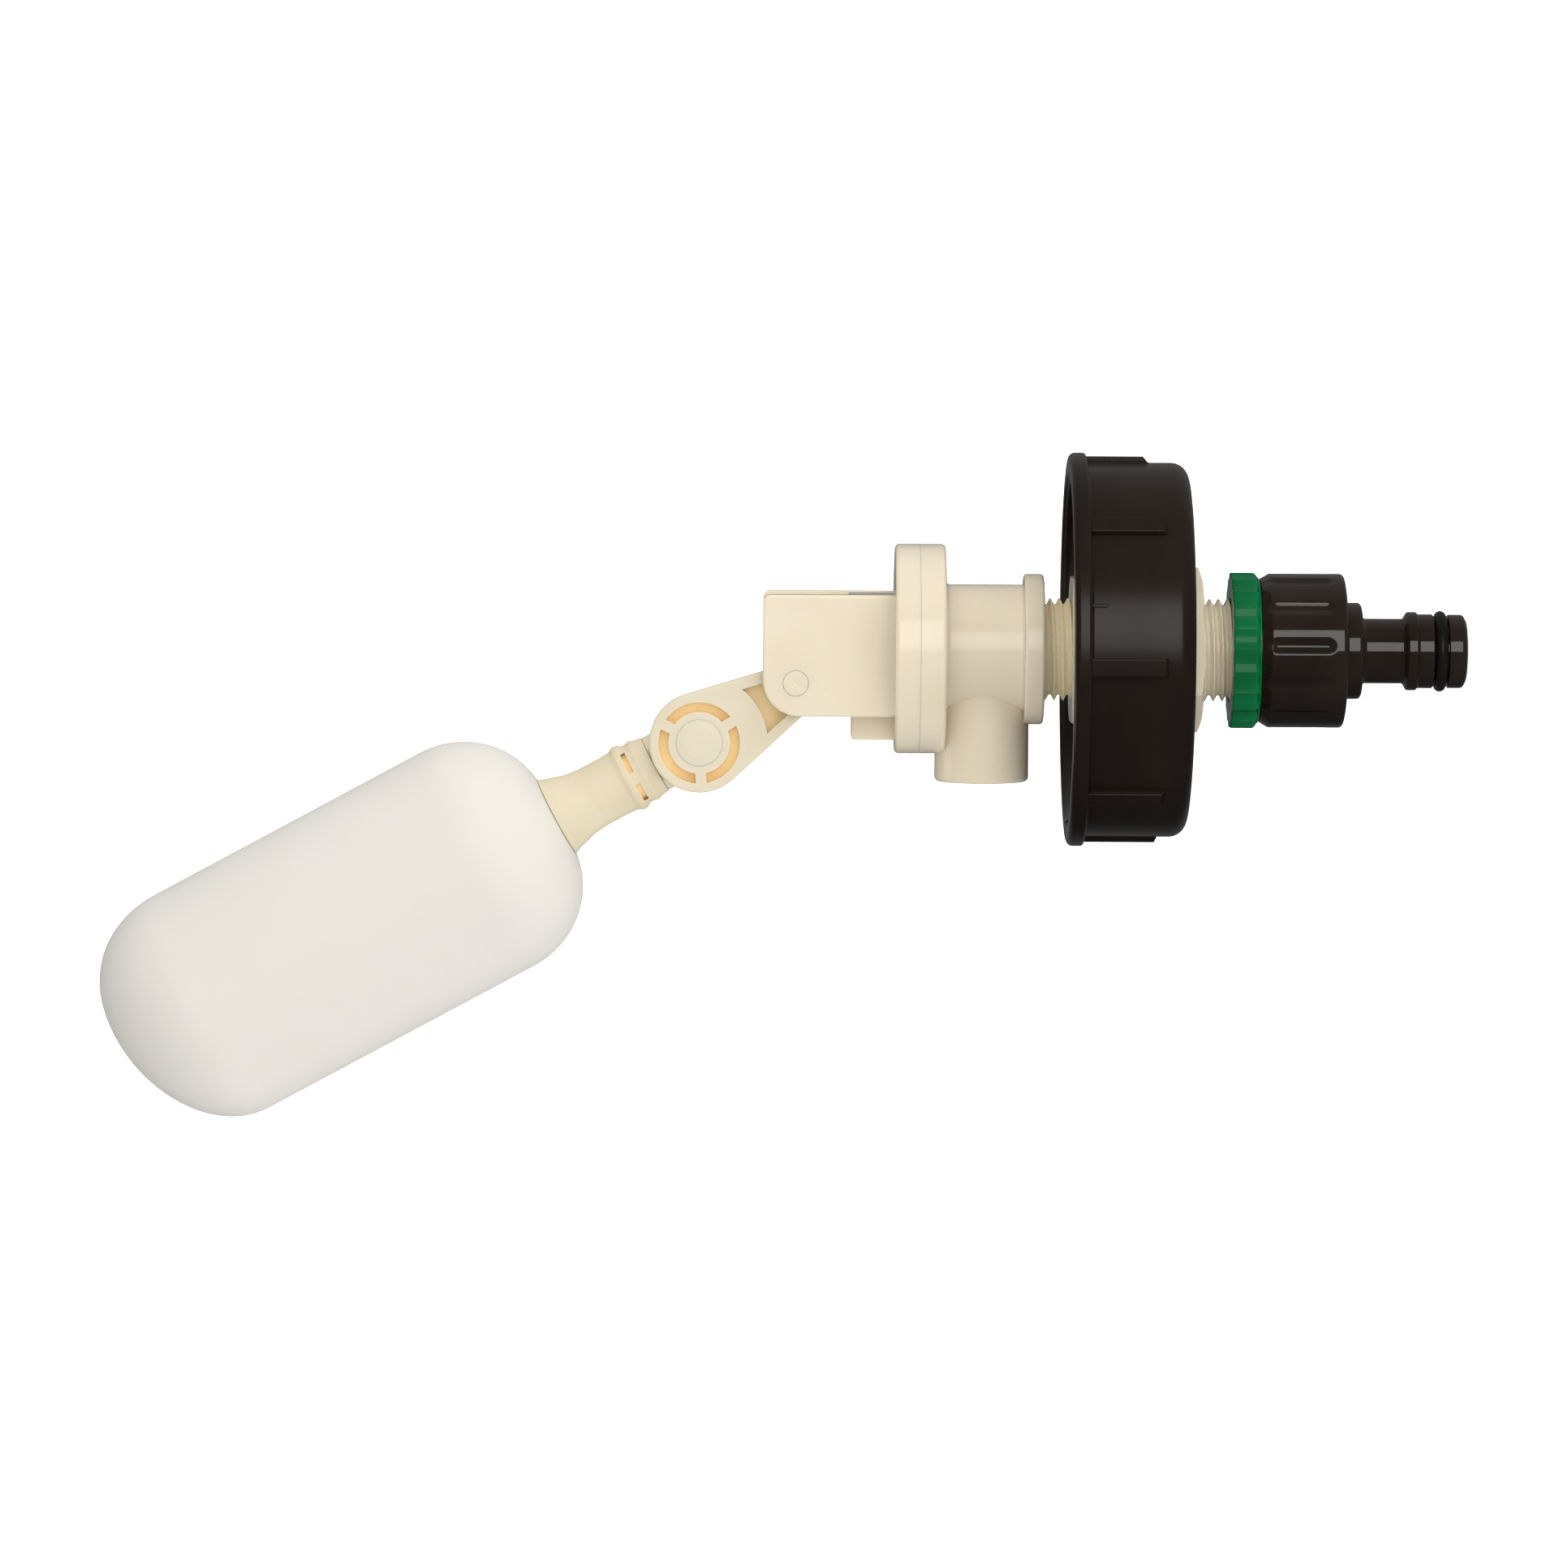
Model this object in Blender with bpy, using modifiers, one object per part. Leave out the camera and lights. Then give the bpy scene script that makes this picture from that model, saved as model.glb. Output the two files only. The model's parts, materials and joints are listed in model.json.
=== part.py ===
"""Float valve for a drum or tank: drum cap, diaphragm valve, lever, arm and float.

Sizes below are in millimetres. The inlet axis is the X axis, +X points to the hose connector, +Z is up,
and the origin is on the inlet axis in the plane of the drum cap's open rim.
"""
import math

import bmesh
import bpy
from mathutils import Matrix, Vector

MM = 0.001
GAP = 0.3                    # clearance kept between neighbouring pieces
FINE = 36                    # facets round a large turned piece
COARSE = 20                  # facets round a small one

SHANK_R = 10.48              # G1/2 thread crest
SHANK_END = 43.0
INLET_R = 5.5
COLLAR_R, COLLAR_X = 15.45, (-9.0, -4.9)
BARREL_R = 13.25
RING_R = 21.5
RING_X = (-35.4, -25.0)      # outer faces of the union ring
PARTING_X = -30.3            # where the ring's two halves meet
CLAMP_R = 18.5               # recess for the diaphragm's rim
SEAT_X, SEAT_R = -29.2, 7.5
CHAMBER_R, CHAMBER_END = 11.3, -12.0
SPOUT_X, SPOUT_R, SPOUT_BORE_R, SPOUT_END = -17.4, 9.65, 7.2, -27.2

CHEEK_X, CHEEK_Z = -62.3, (-13.4, 11.4)
CHEEK_OUT, CHEEK_IN = 12.5, 9.5
NOZZLE_X = -50.7             # lip of the pilot nozzle
LUG_X, LUG_Z, LUG_HALF = -44.5, -18.5, 6.0
PIVOT = (-55.6, 0.0, -6.6)
PIN_R = 2.55
JOINT = (-75.2, 0.0, -19.05)
DISC_R = 10.25
LEVER_END_R = 5.1
LEVER_END = (-55.1, -7.5)    # X and Z of the lever's round end
PLATE_Y = (-9.2, -5.3)
SWING = 24.0                 # degrees from the lower stop to the closed pilot nozzle
PAD_HEIGHT = 6.6             # pad's centre above the pivot when closed
ARM_DROP = 28.5              # degrees that the arm hangs below level

STUB_R, STUB_END = 4.6, 26.8
STEM_START, STEM_END = 10.6, 33.0
FLOAT_START, FLOAT_END, FLOAT_R = 33.3, 134.7, 24.9
FLOAT_WALL = 1.3
NECK_R, NECK_END = 3.5, 42.0

CAP_R, CAP_END, CAP_WALL = 38.35, 24.5, 3.2
RIM_R, RIM_LENGTH = 40.35, 3.5
CAP_BORE_R = SHANK_R + GAP
THREAD_ROOT_R, THREAD_CREST_R, THREAD_PITCH = 35.3, 33.8, 5.0
RIB_COUNT, RIB_START, RIB_END, RIB_TOP, RIB_WIDTH = 8, 47.5, 19.0, 39.6, 3.8
INNER_NUT_X, INNER_NUT_FLATS = (0.7, 18.7), 29.5
OUTER_NUT_X, OUTER_NUT_FLATS = (24.8, 27.5), 29.4

REDUCER_X, REDUCER_R, REDUCER_TAIL = (33.3, 38.7), 16.15, 49.0
SCALLOPS, SCALLOP_DEPTH, SCALLOP_FIRST = 22, 0.6, 13.7
MALE_R = 13.2                # G3/4 thread crest
SHELL_X, SHELL_R = (39.3, 56.7), 15.8
SPIGOT_BORE_R, SPIGOT_END = 3.6, 81.7
RING_GROOVE_X, RING_GROOVE_R = 76.4, 5.6

CREAM = (0.80, 0.72, 0.56)
WARM_CREAM = (0.83, 0.75, 0.57)
MILKY = (0.80, 0.78, 0.72)
GREEN = (0.0, 0.19, 0.06)
BLACK = (0.020, 0.017, 0.016)
RUBBER = (0.025, 0.025, 0.025)
GREY_RUBBER = (0.20, 0.21, 0.22)
STEEL = (0.62, 0.62, 0.60)

ALONG_X = (0.0, math.pi / 2, 0.0)          # turns a lathe's Z axis to +X
TO_FRONT = (math.pi / 2, 0.0, 0.0)         # turns a lathe's Z axis to -Y
ALONG_ARM = (0.0, -math.radians(90.0 + ARM_DROP), 0.0)


def clear_scene():
    for thing in list(bpy.data.objects):
        bpy.data.objects.remove(thing, do_unlink=True)


def make_collection(name):
    folder = bpy.data.collections.new(name)
    bpy.context.scene.collection.children.link(folder)
    return folder


def make_material(name, color, roughness, metallic=0.0):
    material = bpy.data.materials.new(name)
    material.use_nodes = True
    shader = material.node_tree.nodes["Principled BSDF"]
    shader.inputs["Base Color"].default_value = (*color, 1.0)
    shader.inputs["Roughness"].default_value = roughness
    shader.inputs["Metallic"].default_value = metallic
    return material


def add_object(name, mesh, folder, place=(0, 0, 0), turn=(0, 0, 0)):
    thing = bpy.data.objects.new(name, mesh)
    thing.location = Vector(place) * MM
    thing.rotation_euler = turn
    folder.objects.link(thing)
    return thing


def lathe(name, profile, folder, steps=FINE, place=(0, 0, 0), turn=ALONG_X, closed=False):
    """Turns (radius, station) points, listed down the outer side, about the local Z axis."""
    points = [(radius * MM, 0.0, station * MM) for radius, station in profile]
    edges = [(i, i + 1) for i in range(len(points) - 1)]
    if closed:
        edges.append((len(points) - 1, 0))
    mesh = bpy.data.meshes.new(name)
    mesh.from_pydata(points, edges, [])
    thing = add_object(name, mesh, folder, place, turn)
    screw = thing.modifiers.new("turn", "SCREW")
    screw.axis = "Z"
    screw.steps = steps
    screw.render_steps = steps
    screw.use_merge_vertices = True
    screw.merge_threshold = 0.00001
    screw.use_smooth_shade = False
    return thing


def tube(name, inner, outer, ends, folder, steps=FINE, **where):
    low, high = ends
    profile = [(inner, high), (outer, high), (outer, low), (inner, low)]
    return lathe(name, profile, folder, steps, closed=True, **where)


def rod(name, radius, ends, folder, steps=COARSE, **where):
    low, high = ends
    return lathe(name, [(0, high), (radius, high), (radius, low), (0, low)], folder, steps, **where)


def box(name, low, high, folder):
    mesh = bpy.data.meshes.new(name)
    shape = bmesh.new()
    bmesh.ops.create_cube(shape, size=1.0)
    size = Vector(high) - Vector(low)
    middle = (Vector(high) + Vector(low)) / 2
    bmesh.ops.scale(shape, vec=size * MM, verts=shape.verts)
    shape.to_mesh(mesh)
    shape.free()
    return add_object(name, mesh, folder, middle)


def chamfer(thing, width):
    bevel = thing.modifiers.new("round", "BEVEL")
    bevel.width = width * MM
    bevel.segments = 1
    bevel.limit_method = "ANGLE"
    bevel.angle_limit = math.radians(40)


def combine(thing, other, operation):
    step = thing.modifiers.new(operation.lower(), "BOOLEAN")
    step.operation = operation
    step.solver = "EXACT"
    step.object = other


def cut(thing, *others):
    for other in others:
        combine(thing, other, "DIFFERENCE")


def join(thing, *others):
    for other in others:
        combine(thing, other, "UNION")


def arc(middle, radius, start, end, count):
    """Points on a circle from one angle to another, in degrees."""
    angles = [math.radians(start + (end - start) * i / count) for i in range(count + 1)]
    return [(middle[0] + radius * math.cos(a), middle[1] + radius * math.sin(a)) for a in angles]


def upright_plate(name, outline, ends, folder):
    """Makes a plate with its outline in the XZ plane, between two Y values."""
    flat = bpy.data.curves.new(name, "CURVE")
    flat.dimensions = "2D"
    flat.fill_mode = "BOTH"
    flat.extrude = (ends[1] - ends[0]) / 2 * MM
    line = flat.splines.new("POLY")
    line.points.add(len(outline) - 1)
    for point, (x, z) in zip(line.points, outline):
        point.co = (x * MM, z * MM, 0.0, 1.0)
    line.use_cyclic_u = True
    drawn = add_object(name + "_outline", flat, folder, (0, (ends[0] + ends[1]) / 2, 0), TO_FRONT)
    bpy.context.view_layer.update()
    ready = drawn.evaluated_get(bpy.context.evaluated_depsgraph_get())
    mesh = bpy.data.meshes.new_from_object(ready)
    shape = bmesh.new()
    shape.from_mesh(mesh)
    bmesh.ops.remove_doubles(shape, verts=shape.verts, dist=0.000001)
    bmesh.ops.recalc_face_normals(shape, faces=shape.faces)
    shape.to_mesh(mesh)
    shape.free()
    thing = bpy.data.objects.new(name, mesh)
    thing.matrix_world = drawn.matrix_world
    folder.objects.link(thing)
    bpy.data.objects.remove(drawn, do_unlink=True)
    return thing


def tapered_outline(inset=0.0):
    """The lever's outline: a large circle at the joint, a small one at the pivot, and their tangents."""
    large = Vector((JOINT[0], JOINT[2]))
    small = Vector(LEVER_END)
    along = small - large
    heading = math.degrees(math.atan2(along.y, along.x))
    lean = math.degrees(math.acos((DISC_R - LEVER_END_R) / along.length))
    outline = arc(large, DISC_R - inset, heading + lean, heading + 360 - lean, 32)
    outline += arc(small, LEVER_END_R - inset, heading - lean, heading + lean, 14)
    return outline


def ring_of(name, count, first, make_one, folder):
    """Joins copies of a small shape round the X axis into one object."""
    mesh = bpy.data.meshes.new(name)
    shape = bmesh.new()
    for i in range(count):
        turn = Matrix.Rotation(math.radians(first + 360.0 * i / count), 4, "X")
        make_one(shape, turn)
    shape.to_mesh(mesh)
    shape.free()
    return add_object(name, mesh, folder)


def block_maker(low, high):
    """Returns a function that adds one block, given at the top of the X axis, turned about it."""
    size = Vector(high) - Vector(low)
    middle = Matrix.Translation((Vector(high) + Vector(low)) / 2 * MM)
    stretch = Matrix.Diagonal((*(size * MM), 1.0))

    def make_one(shape, turn):
        bmesh.ops.create_cube(shape, size=1.0, matrix=turn @ middle @ stretch)

    return make_one


def groove_maker(radius, height, ends):
    """Returns a function that adds one cylinder along X, its axis at a height above the X axis."""
    middle = Matrix.Translation(Vector(((ends[0] + ends[1]) / 2, 0, height)) * MM)
    lie = Matrix.Rotation(math.pi / 2, 4, "Y")

    def make_one(shape, turn):
        bmesh.ops.create_cone(shape, cap_ends=True, segments=8, radius1=radius * MM, radius2=radius * MM,
                              depth=(ends[1] - ends[0]) * MM, matrix=turn @ middle @ lie)

    return make_one


def hexagon(name, flats, ends, folder, corner_up):
    mesh = bpy.data.meshes.new(name)
    shape = bmesh.new()
    corner = flats / math.sqrt(3)
    turn = Matrix.Rotation(math.pi / 2, 4, "Y")
    if corner_up:
        turn = turn @ Matrix.Rotation(math.radians(30), 4, "Z")
    bmesh.ops.create_cone(shape, cap_ends=True, segments=6, radius1=corner * MM, radius2=corner * MM,
                          depth=(ends[1] - ends[0]) * MM, matrix=turn)
    shape.to_mesh(mesh)
    shape.free()
    thing = add_object(name, mesh, folder, ((ends[0] + ends[1]) / 2, 0, 0))
    chamfer(thing, 0.5)
    return thing


def closed_frame(x, z):
    """Turns a place near the pivot, given with the lever in its closed pose, back to the rest pose."""
    angle = math.radians(SWING)
    return (PIVOT[0] + x * math.cos(angle) - z * math.sin(angle),
            PIVOT[2] + x * math.sin(angle) + z * math.cos(angle))


def make_valve_body(parts, cutters):
    outer = [(0, SHANK_END), (SHANK_R - 0.8, SHANK_END), (SHANK_R, SHANK_END - 0.8),
             (SHANK_R, COLLAR_X[1]), (COLLAR_R, COLLAR_X[1]), (COLLAR_R, COLLAR_X[0]),
             (BARREL_R, COLLAR_X[0]), (BARREL_R, RING_X[1]), (RING_R - 0.8, RING_X[1]),
             (RING_R, RING_X[1] - 0.8), (RING_R, PARTING_X + GAP / 2), (0, PARTING_X + GAP / 2)]
    body = lathe("valve_body", outer, parts)
    spout = lathe("spout_form", [(0, -3.0), (SPOUT_R, -3.0), (SPOUT_R, SPOUT_END + 0.8),
                                 (SPOUT_R - 0.8, SPOUT_END), (0, SPOUT_END)],
                  cutters, COARSE, place=(SPOUT_X, 0, 0), turn=(0, 0, 0))
    water_way = lathe("water_way", [(0, SHANK_END + 1), (INLET_R, SHANK_END + 1), (INLET_R, SEAT_X),
                                    (SEAT_R - 0.9, SEAT_X), (SEAT_R, SEAT_X + 0.8), (SEAT_R, CHAMBER_END),
                                    (CHAMBER_R, CHAMBER_END), (CHAMBER_R, -27.0), (12.0, -28.4),
                                    (CLAMP_R, -28.4), (CLAMP_R, -31.0), (0, -31.0)], cutters)
    spout_bore = rod("spout_bore", SPOUT_BORE_R, (SPOUT_END - 1, -8.6), cutters,
                     place=(SPOUT_X, 0, 0), turn=(0, 0, 0))
    join(body, spout)
    cut(body, water_way, spout_bore)
    return body


def make_front_cover(parts, cutters):
    bore = 0.9
    face = PARTING_X - GAP / 2
    profile = [(CLAMP_R, face), (RING_R, face), (RING_R, RING_X[0] + 0.8), (RING_R - 0.8, RING_X[0]),
               (9.0, RING_X[0]), (9.0, -38.4), (3.0, -38.4), (3.0, -44.0), (1.7, NOZZLE_X),
               (bore, NOZZLE_X), (bore, -35.0), (8.0, -35.0), (8.0, -33.4), (14.5, -33.4), (14.5, -32.2),
               (CLAMP_R, -32.2)]
    cover = lathe("front_cover", profile, parts, closed=True)
    low, high = CHEEK_Z
    outline = arc((CHEEK_X + 1.5, high - 1.5), 1.5, 90, 180, 4)
    outline += arc((CHEEK_X + 7.5, low + 7.5), 7.5, 180, 270, 10)
    outline += [(RING_X[0] + 0.5, low), (RING_X[0] + 0.5, high)]
    for name, ends in (("near_cheek", (-CHEEK_OUT, -CHEEK_IN)), ("far_cheek", (CHEEK_IN, CHEEK_OUT))):
        join(cover, upright_plate(name, outline, ends, cutters))
    inside = CHEEK_IN + 0.6
    webs = [box("roof_web", (-45.0, -inside, high - 2.8), (RING_X[0] + 0.6, inside, high - 0.2), cutters),
            box("floor_web", (LUG_X, -inside, low + 0.2), (RING_X[0] + 0.6, inside, low + 2.6), cutters),
            box("stop_web", (-48.5, -inside, -5.6), (RING_X[0] + 0.6, inside, -4.0), cutters),
            box("lug", (LUG_X + 0.3, -LUG_HALF, LUG_Z), (RING_X[0] + 0.7, LUG_HALF, low + 1.0), cutters)]
    join(cover, *webs)
    cut(cover, rod("pivot_holes", PIN_R + GAP, (-14.0, 14.0), cutters, place=PIVOT, turn=TO_FRONT))
    return cover


def make_lever(parts, cutters):
    lever = upright_plate("lever_arm", tapered_outline(), PLATE_Y, parts)
    hub = upright_plate("lever_hub", arc(LEVER_END, LEVER_END_R, 0, 350, 27),
                        (PLATE_Y[0] + 0.2, -PLATE_Y[0]), cutters)
    finger = upright_plate("finger", [closed_frame(x, z) for x, z in
                                      ((-1.2, 2.0), (2.2, 2.0), (2.2, 10.6), (-1.2, 10.6))],
                           (-3.6, 3.6), cutters)
    heel = box("heel", (PIVOT[0] + 3.5, -3.9, -9.1), (-46.5, 3.9, -5.9), cutters)
    join(lever, hub, finger, heel)

    slots = tube("slot_ring", 6.3, 8.3, (7.2, 11.0), cutters, 32, place=JOINT, turn=TO_FRONT)
    for angle in (33.0, 153.0, 273.0):
        spoke = box("spoke_%d" % angle, (0, -12.0, -1.1), (12.0, -6.0, 1.1), cutters)
        spoke.rotation_euler = (0, -math.radians(angle), 0)
        reach = Vector((math.cos(math.radians(angle)), 0, math.sin(math.radians(angle)))) * 6.0
        spoke.location = (Vector((JOINT[0], -9.0, JOINT[2])) + reach) * MM
        cut(slots, spoke)
    pocket = upright_plate("web_pocket", tapered_outline(2.3), (-11.0, -6.9), cutters)
    cut(pocket, rod("disc_keep", 14.0, (5.0, 12.0), cutters, 32, place=JOINT, turn=TO_FRONT),
        rod("hub_keep", 4.4, (5.0, 12.0), cutters, place=PIVOT, turn=TO_FRONT))
    stem_dip = rod("stem_dip", 1.6, (-0.1, 3.0), cutters, 20, turn=(0, math.radians(90 - SWING), 0))
    x, z = closed_frame(0, PAD_HEIGHT)
    stem_dip.location = Vector((x, 0, z)) * MM
    bolt_hole = lathe("bolt_hole", [(0, 11.0), (4.6, 11.0), (4.6, 7.2), (3.1, 7.2), (3.1, 4.0), (0, 4.0)],
                      cutters, place=JOINT, turn=TO_FRONT)
    pin_hole = rod("lever_pin_hole", PIN_R + GAP, (-14.0, 14.0), cutters, place=PIVOT, turn=TO_FRONT)
    cut(lever, slots, pocket, stem_dip, bolt_hole, pin_hole)
    return lever


def make_pilot_pad(parts):
    x, z = closed_frame(0, PAD_HEIGHT)
    profile = [(0, 4.6), (2.7, 4.6), (2.9, 4.3), (2.9, 2.5), (1.3, 2.5), (1.3, 0.3), (0, 0.3)]
    return lathe("pilot_pad", profile, parts, COARSE, place=(x, 0, z),
                 turn=(0, math.radians(90 - SWING), 0))


def make_joint_hardware(parts, cutters):
    profile = [(0, 9.7), (4.0, 9.7), (4.3, 9.4), (4.3, 7.5), (2.8, 7.5), (2.8, -8.8), (0, -8.8)]
    bolt = lathe("joint_bolt", profile, parts, COARSE, place=JOINT, turn=TO_FRONT)
    nut = hexagon("joint_nut", 9.0, (-1.5, 1.5), parts, True)
    nut.rotation_euler = (0, 0, math.pi / 2)
    nut.location = Vector((JOINT[0], 6.8, JOINT[2])) * MM
    cut(nut, rod("joint_nut_hole", 3.1, (-12.0, 0.0), cutters, place=JOINT, turn=TO_FRONT))
    return bolt, nut


def make_knuckle(parts, cutters):
    knuckle = rod("arm_knuckle", 9.6, (-5.0, 5.0), parts, 32, place=JOINT, turn=TO_FRONT)
    shoulder = box("shoulder", (0, -5.0, -6.1), (10.3, 5.0, 6.1), cutters)
    shoulder.rotation_euler = (0, math.radians(180 - ARM_DROP), 0)
    reach = Vector((-math.cos(math.radians(ARM_DROP)), 0, -math.sin(math.radians(ARM_DROP)))) * 5.15
    shoulder.location = (Vector(JOINT) + reach) * MM
    stub = rod("stub", STUB_R, (8.0, STUB_END), cutters, place=JOINT, turn=ALONG_ARM)
    join(knuckle, shoulder, stub)
    cut(knuckle, rod("knuckle_hole", 3.1, (-12.0, 12.0), cutters, place=JOINT, turn=TO_FRONT))
    return knuckle


def make_stem(parts, cutters):
    bore = STUB_R + GAP
    profile = [(0, 41.0), (NECK_R - GAP, 41.0), (NECK_R - GAP, STEM_END), (8.6, STEM_END), (8.0, 32.0),
               (7.45, 30.0), (6.85, 28.0), (6.5, 25.0), (6.5, 20.0), (6.6, 18.0), (7.15, 16.6), (7.15, 15.8),
               (6.5, 14.6), (6.7, 12.9), (6.1, STEM_START), (bore, STEM_START), (bore, STUB_END + 0.5),
               (0, STUB_END + 0.5)]
    stem = lathe("float_stem", profile, parts, 28, place=JOINT, turn=ALONG_ARM)
    for name, low, high in (("upper_window", 1.0, 5.0), ("lower_window", -5.5, -1.7)):
        window = box(name, (low, -9.0, 14.6), (high, -3.0, 15.8), cutters)
        window.rotation_euler = ALONG_ARM
        turn = Matrix.Rotation(ALONG_ARM[1], 4, "Y")
        middle = Vector(((low + high) / 2, -6.0, 15.2))
        window.location = (Vector(JOINT) + turn @ middle) * MM
        cut(stem, window)
    return stem


def float_end(end, reach, flat_r, inset, angles, count):
    """Points on the rounded end of the float: an elliptical quarter round a small flat."""
    start, stop = (math.radians(angle) for angle in angles)
    turns = [start + (stop - start) * i / count for i in range(count + 1)]
    rise = FLOAT_R - flat_r - inset
    depth = reach - math.copysign(inset, reach)
    return [(flat_r + rise * math.sin(a), end - reach + depth * abs(math.cos(a))) for a in turns]


def make_float(parts):
    far = (FLOAT_END, 20.7, 1.1)
    near = (FLOAT_START, -18.7, 7.07)
    wall = FLOAT_WALL
    outer = float_end(*far, 0.0, (0, 90), 7) + float_end(*near, 0.0, (90, 180), 7)
    inner = float_end(*near, wall, (180, 90), 5) + float_end(*far, wall, (90, 0), 5)
    neck = [(NECK_R, FLOAT_START), (NECK_R, NECK_END), (5.6, NECK_END), (5.6, FLOAT_START + wall)]
    profile = [(0, FLOAT_END)] + outer + neck + inner + [(0, FLOAT_END - wall)]
    return lathe("float_shell", profile, parts, place=JOINT, turn=ALONG_ARM)


def make_diaphragm(parts, cutters):
    profile = [(1.8, -29.5), (9.4, -29.5), (10.4, -30.9), (11.6, -31.4), (13.2, -30.4), (15.3, -29.6),
               (15.3, -28.7), (18.2, -28.7), (18.2, -31.9), (15.3, -31.9), (14.2, -31.6), (12.4, -32.6),
               (10.0, -32.6), (9.0, -31.2), (1.8, -31.2)]
    diaphragm = lathe("diaphragm", profile, parts, 32, closed=True)
    cut(diaphragm, rod("diaphragm_bleed", 1.2, (-33.0, -28.0), cutters, 16, place=(0, 0, -3.8)))
    return diaphragm


def make_insert(parts, cutters):
    profile = [(0, -28.2), (2.2, -28.2), (2.5, -28.5), (2.5, -29.2), (1.5, -29.2), (1.5, -31.5),
               (6.5, -31.5), (6.5, -32.2), (6.2, -32.5), (0, -32.5)]
    insert = lathe("diaphragm_insert", profile, parts, COARSE)
    cut(insert, rod("insert_bleed", 0.8, (-34.0, -31.0), cutters, 16, place=(0, 0, -3.8)))
    return insert


def make_cap(parts, cutters):
    inside = CAP_END - CAP_WALL
    profile = [(CAP_BORE_R, CAP_END)] + arc((CAP_R - 3.5, CAP_END - 3.5), 3.5, 90, 0, 3)
    profile += [(CAP_R, RIM_LENGTH), (RIM_R - 0.4, RIM_LENGTH), (RIM_R, RIM_LENGTH - 0.5), (RIM_R, 0.9),
                (RIM_R - 0.9, 0), (THREAD_ROOT_R, 0)]
    for turn in range(3):
        start = 2.2 + turn * THREAD_PITCH
        profile += [(THREAD_ROOT_R, start), (THREAD_CREST_R, start + 0.8),
                    (THREAD_CREST_R, start + 1.8), (THREAD_ROOT_R, start + 3.2)]
    profile += [(THREAD_ROOT_R, inside), (CAP_BORE_R, inside)]
    cap = lathe("cap", profile, parts, 48, closed=True)
    rib = block_maker((RIM_LENGTH - 1.0, -RIB_WIDTH / 2, CAP_R - 0.8), (RIB_END, RIB_WIDTH / 2, RIB_TOP))
    join(cap, ring_of("cap_ribs", RIB_COUNT, RIB_START, rib, cutters))
    return cap


def make_nuts(parts, cutters):
    inner = hexagon("inner_nut", INNER_NUT_FLATS, INNER_NUT_X, parts, False)
    outer = hexagon("outer_nut", OUTER_NUT_FLATS, OUTER_NUT_X, parts, True)
    hole = rod("nut_hole", SHANK_R + GAP, (-2.0, 30.0), cutters)
    cut(inner, hole)
    cut(outer, hole)
    return inner, outer


def make_reducer(parts, cutters):
    seat = SHANK_END + 2.3
    low, high = REDUCER_X
    profile = [(7.0, REDUCER_TAIL), (MALE_R - 0.7, REDUCER_TAIL), (MALE_R, REDUCER_TAIL - 0.7),
               (MALE_R, 39.0), (15.0, 39.0), (15.0, low + 0.5), (SHANK_R + GAP, low + 0.5),
               (SHANK_R + GAP, seat), (7.0, seat)]
    reducer = lathe("reducer", profile, parts, FINE, closed=True)
    corners = []
    for i in range(SCALLOPS * 2):
        angle = math.radians(SCALLOP_FIRST + 180.0 * i / SCALLOPS)
        radius = REDUCER_R if i % 2 else REDUCER_R - SCALLOP_DEPTH
        corners.append((radius * math.cos(angle), radius * math.sin(angle)))
    grip = upright_plate("grip_ring", corners, (low, high), cutters)
    grip.rotation_euler = (math.pi / 2, 0, math.pi / 2)
    grip.location = Vector(((low + high) / 2, 0, 0)) * MM
    join(reducer, grip)
    cut(reducer, rod("reducer_socket", SHANK_R + GAP, (low - 1, high + 1), cutters, FINE))
    return reducer


def make_connector(parts, cutters):
    thread = MALE_R + GAP
    low, high = SHELL_X
    profile = [(SPIGOT_BORE_R, SPIGOT_END), (6.05, SPIGOT_END), (7.1, SPIGOT_END - 0.4),
               (7.55, SPIGOT_END - 1.5), (7.55, RING_GROOVE_X + 1.5), (RING_GROOVE_R, RING_GROOVE_X + 1.5),
               (RING_GROOVE_R, RING_GROOVE_X - 1.5), (7.6, RING_GROOVE_X - 1.5), (7.6, 71.8), (8.05, 71.6),
               (8.05, 69.4), (7.7, 69.2), (6.65, 68.6), (6.65, 60.4), (9.5, 60.2), (9.9, 59.8), (9.9, high),
               (SHELL_R - 1.8, high), (SHELL_R - 0.5, high - 0.6), (SHELL_R, high - 1.8), (SHELL_R, low + 2.0),
               (SHELL_R - 1.0, low), (thread, low), (thread, 51.5), (SPIGOT_BORE_R, 51.5)]
    connector = lathe("tap_connector", profile, parts, FINE, closed=True)
    grooves = groove_maker(2.6, SHELL_R + 1.6, (41.0, 54.5))
    cut(connector, ring_of("grip_grooves", 12, 28.5, grooves, cutters))
    return connector


def make_seals(parts):
    o_ring = [(7.1 + 1.2 * math.cos(a), RING_GROOVE_X - 1.2 * math.sin(a))
              for a in (math.radians(45 * i) for i in range(8))]
    return {
        "spigot_o_ring": lathe("spigot_o_ring", o_ring, parts, 24, closed=True),
        "inner_washer": tube("inner_washer", 10.9, 16.5, (19.0, 21.0), parts, 32),
        "cap_gasket": tube("cap_gasket", 22.0, 33.0, (19.2, 21.0), parts),
        "reducer_washer": tube("reducer_washer", 7.2, 10.3, (43.3, 45.0), parts, 32),
        "connector_washer": tube("connector_washer", 6.0, 12.8, (49.3, 51.2), parts, 32),
    }


def make_pivot(name, place, folder):
    pivot = bpy.data.objects.new(name, None)
    pivot.location = Vector(place) * MM
    folder.objects.link(pivot)
    return pivot


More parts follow.
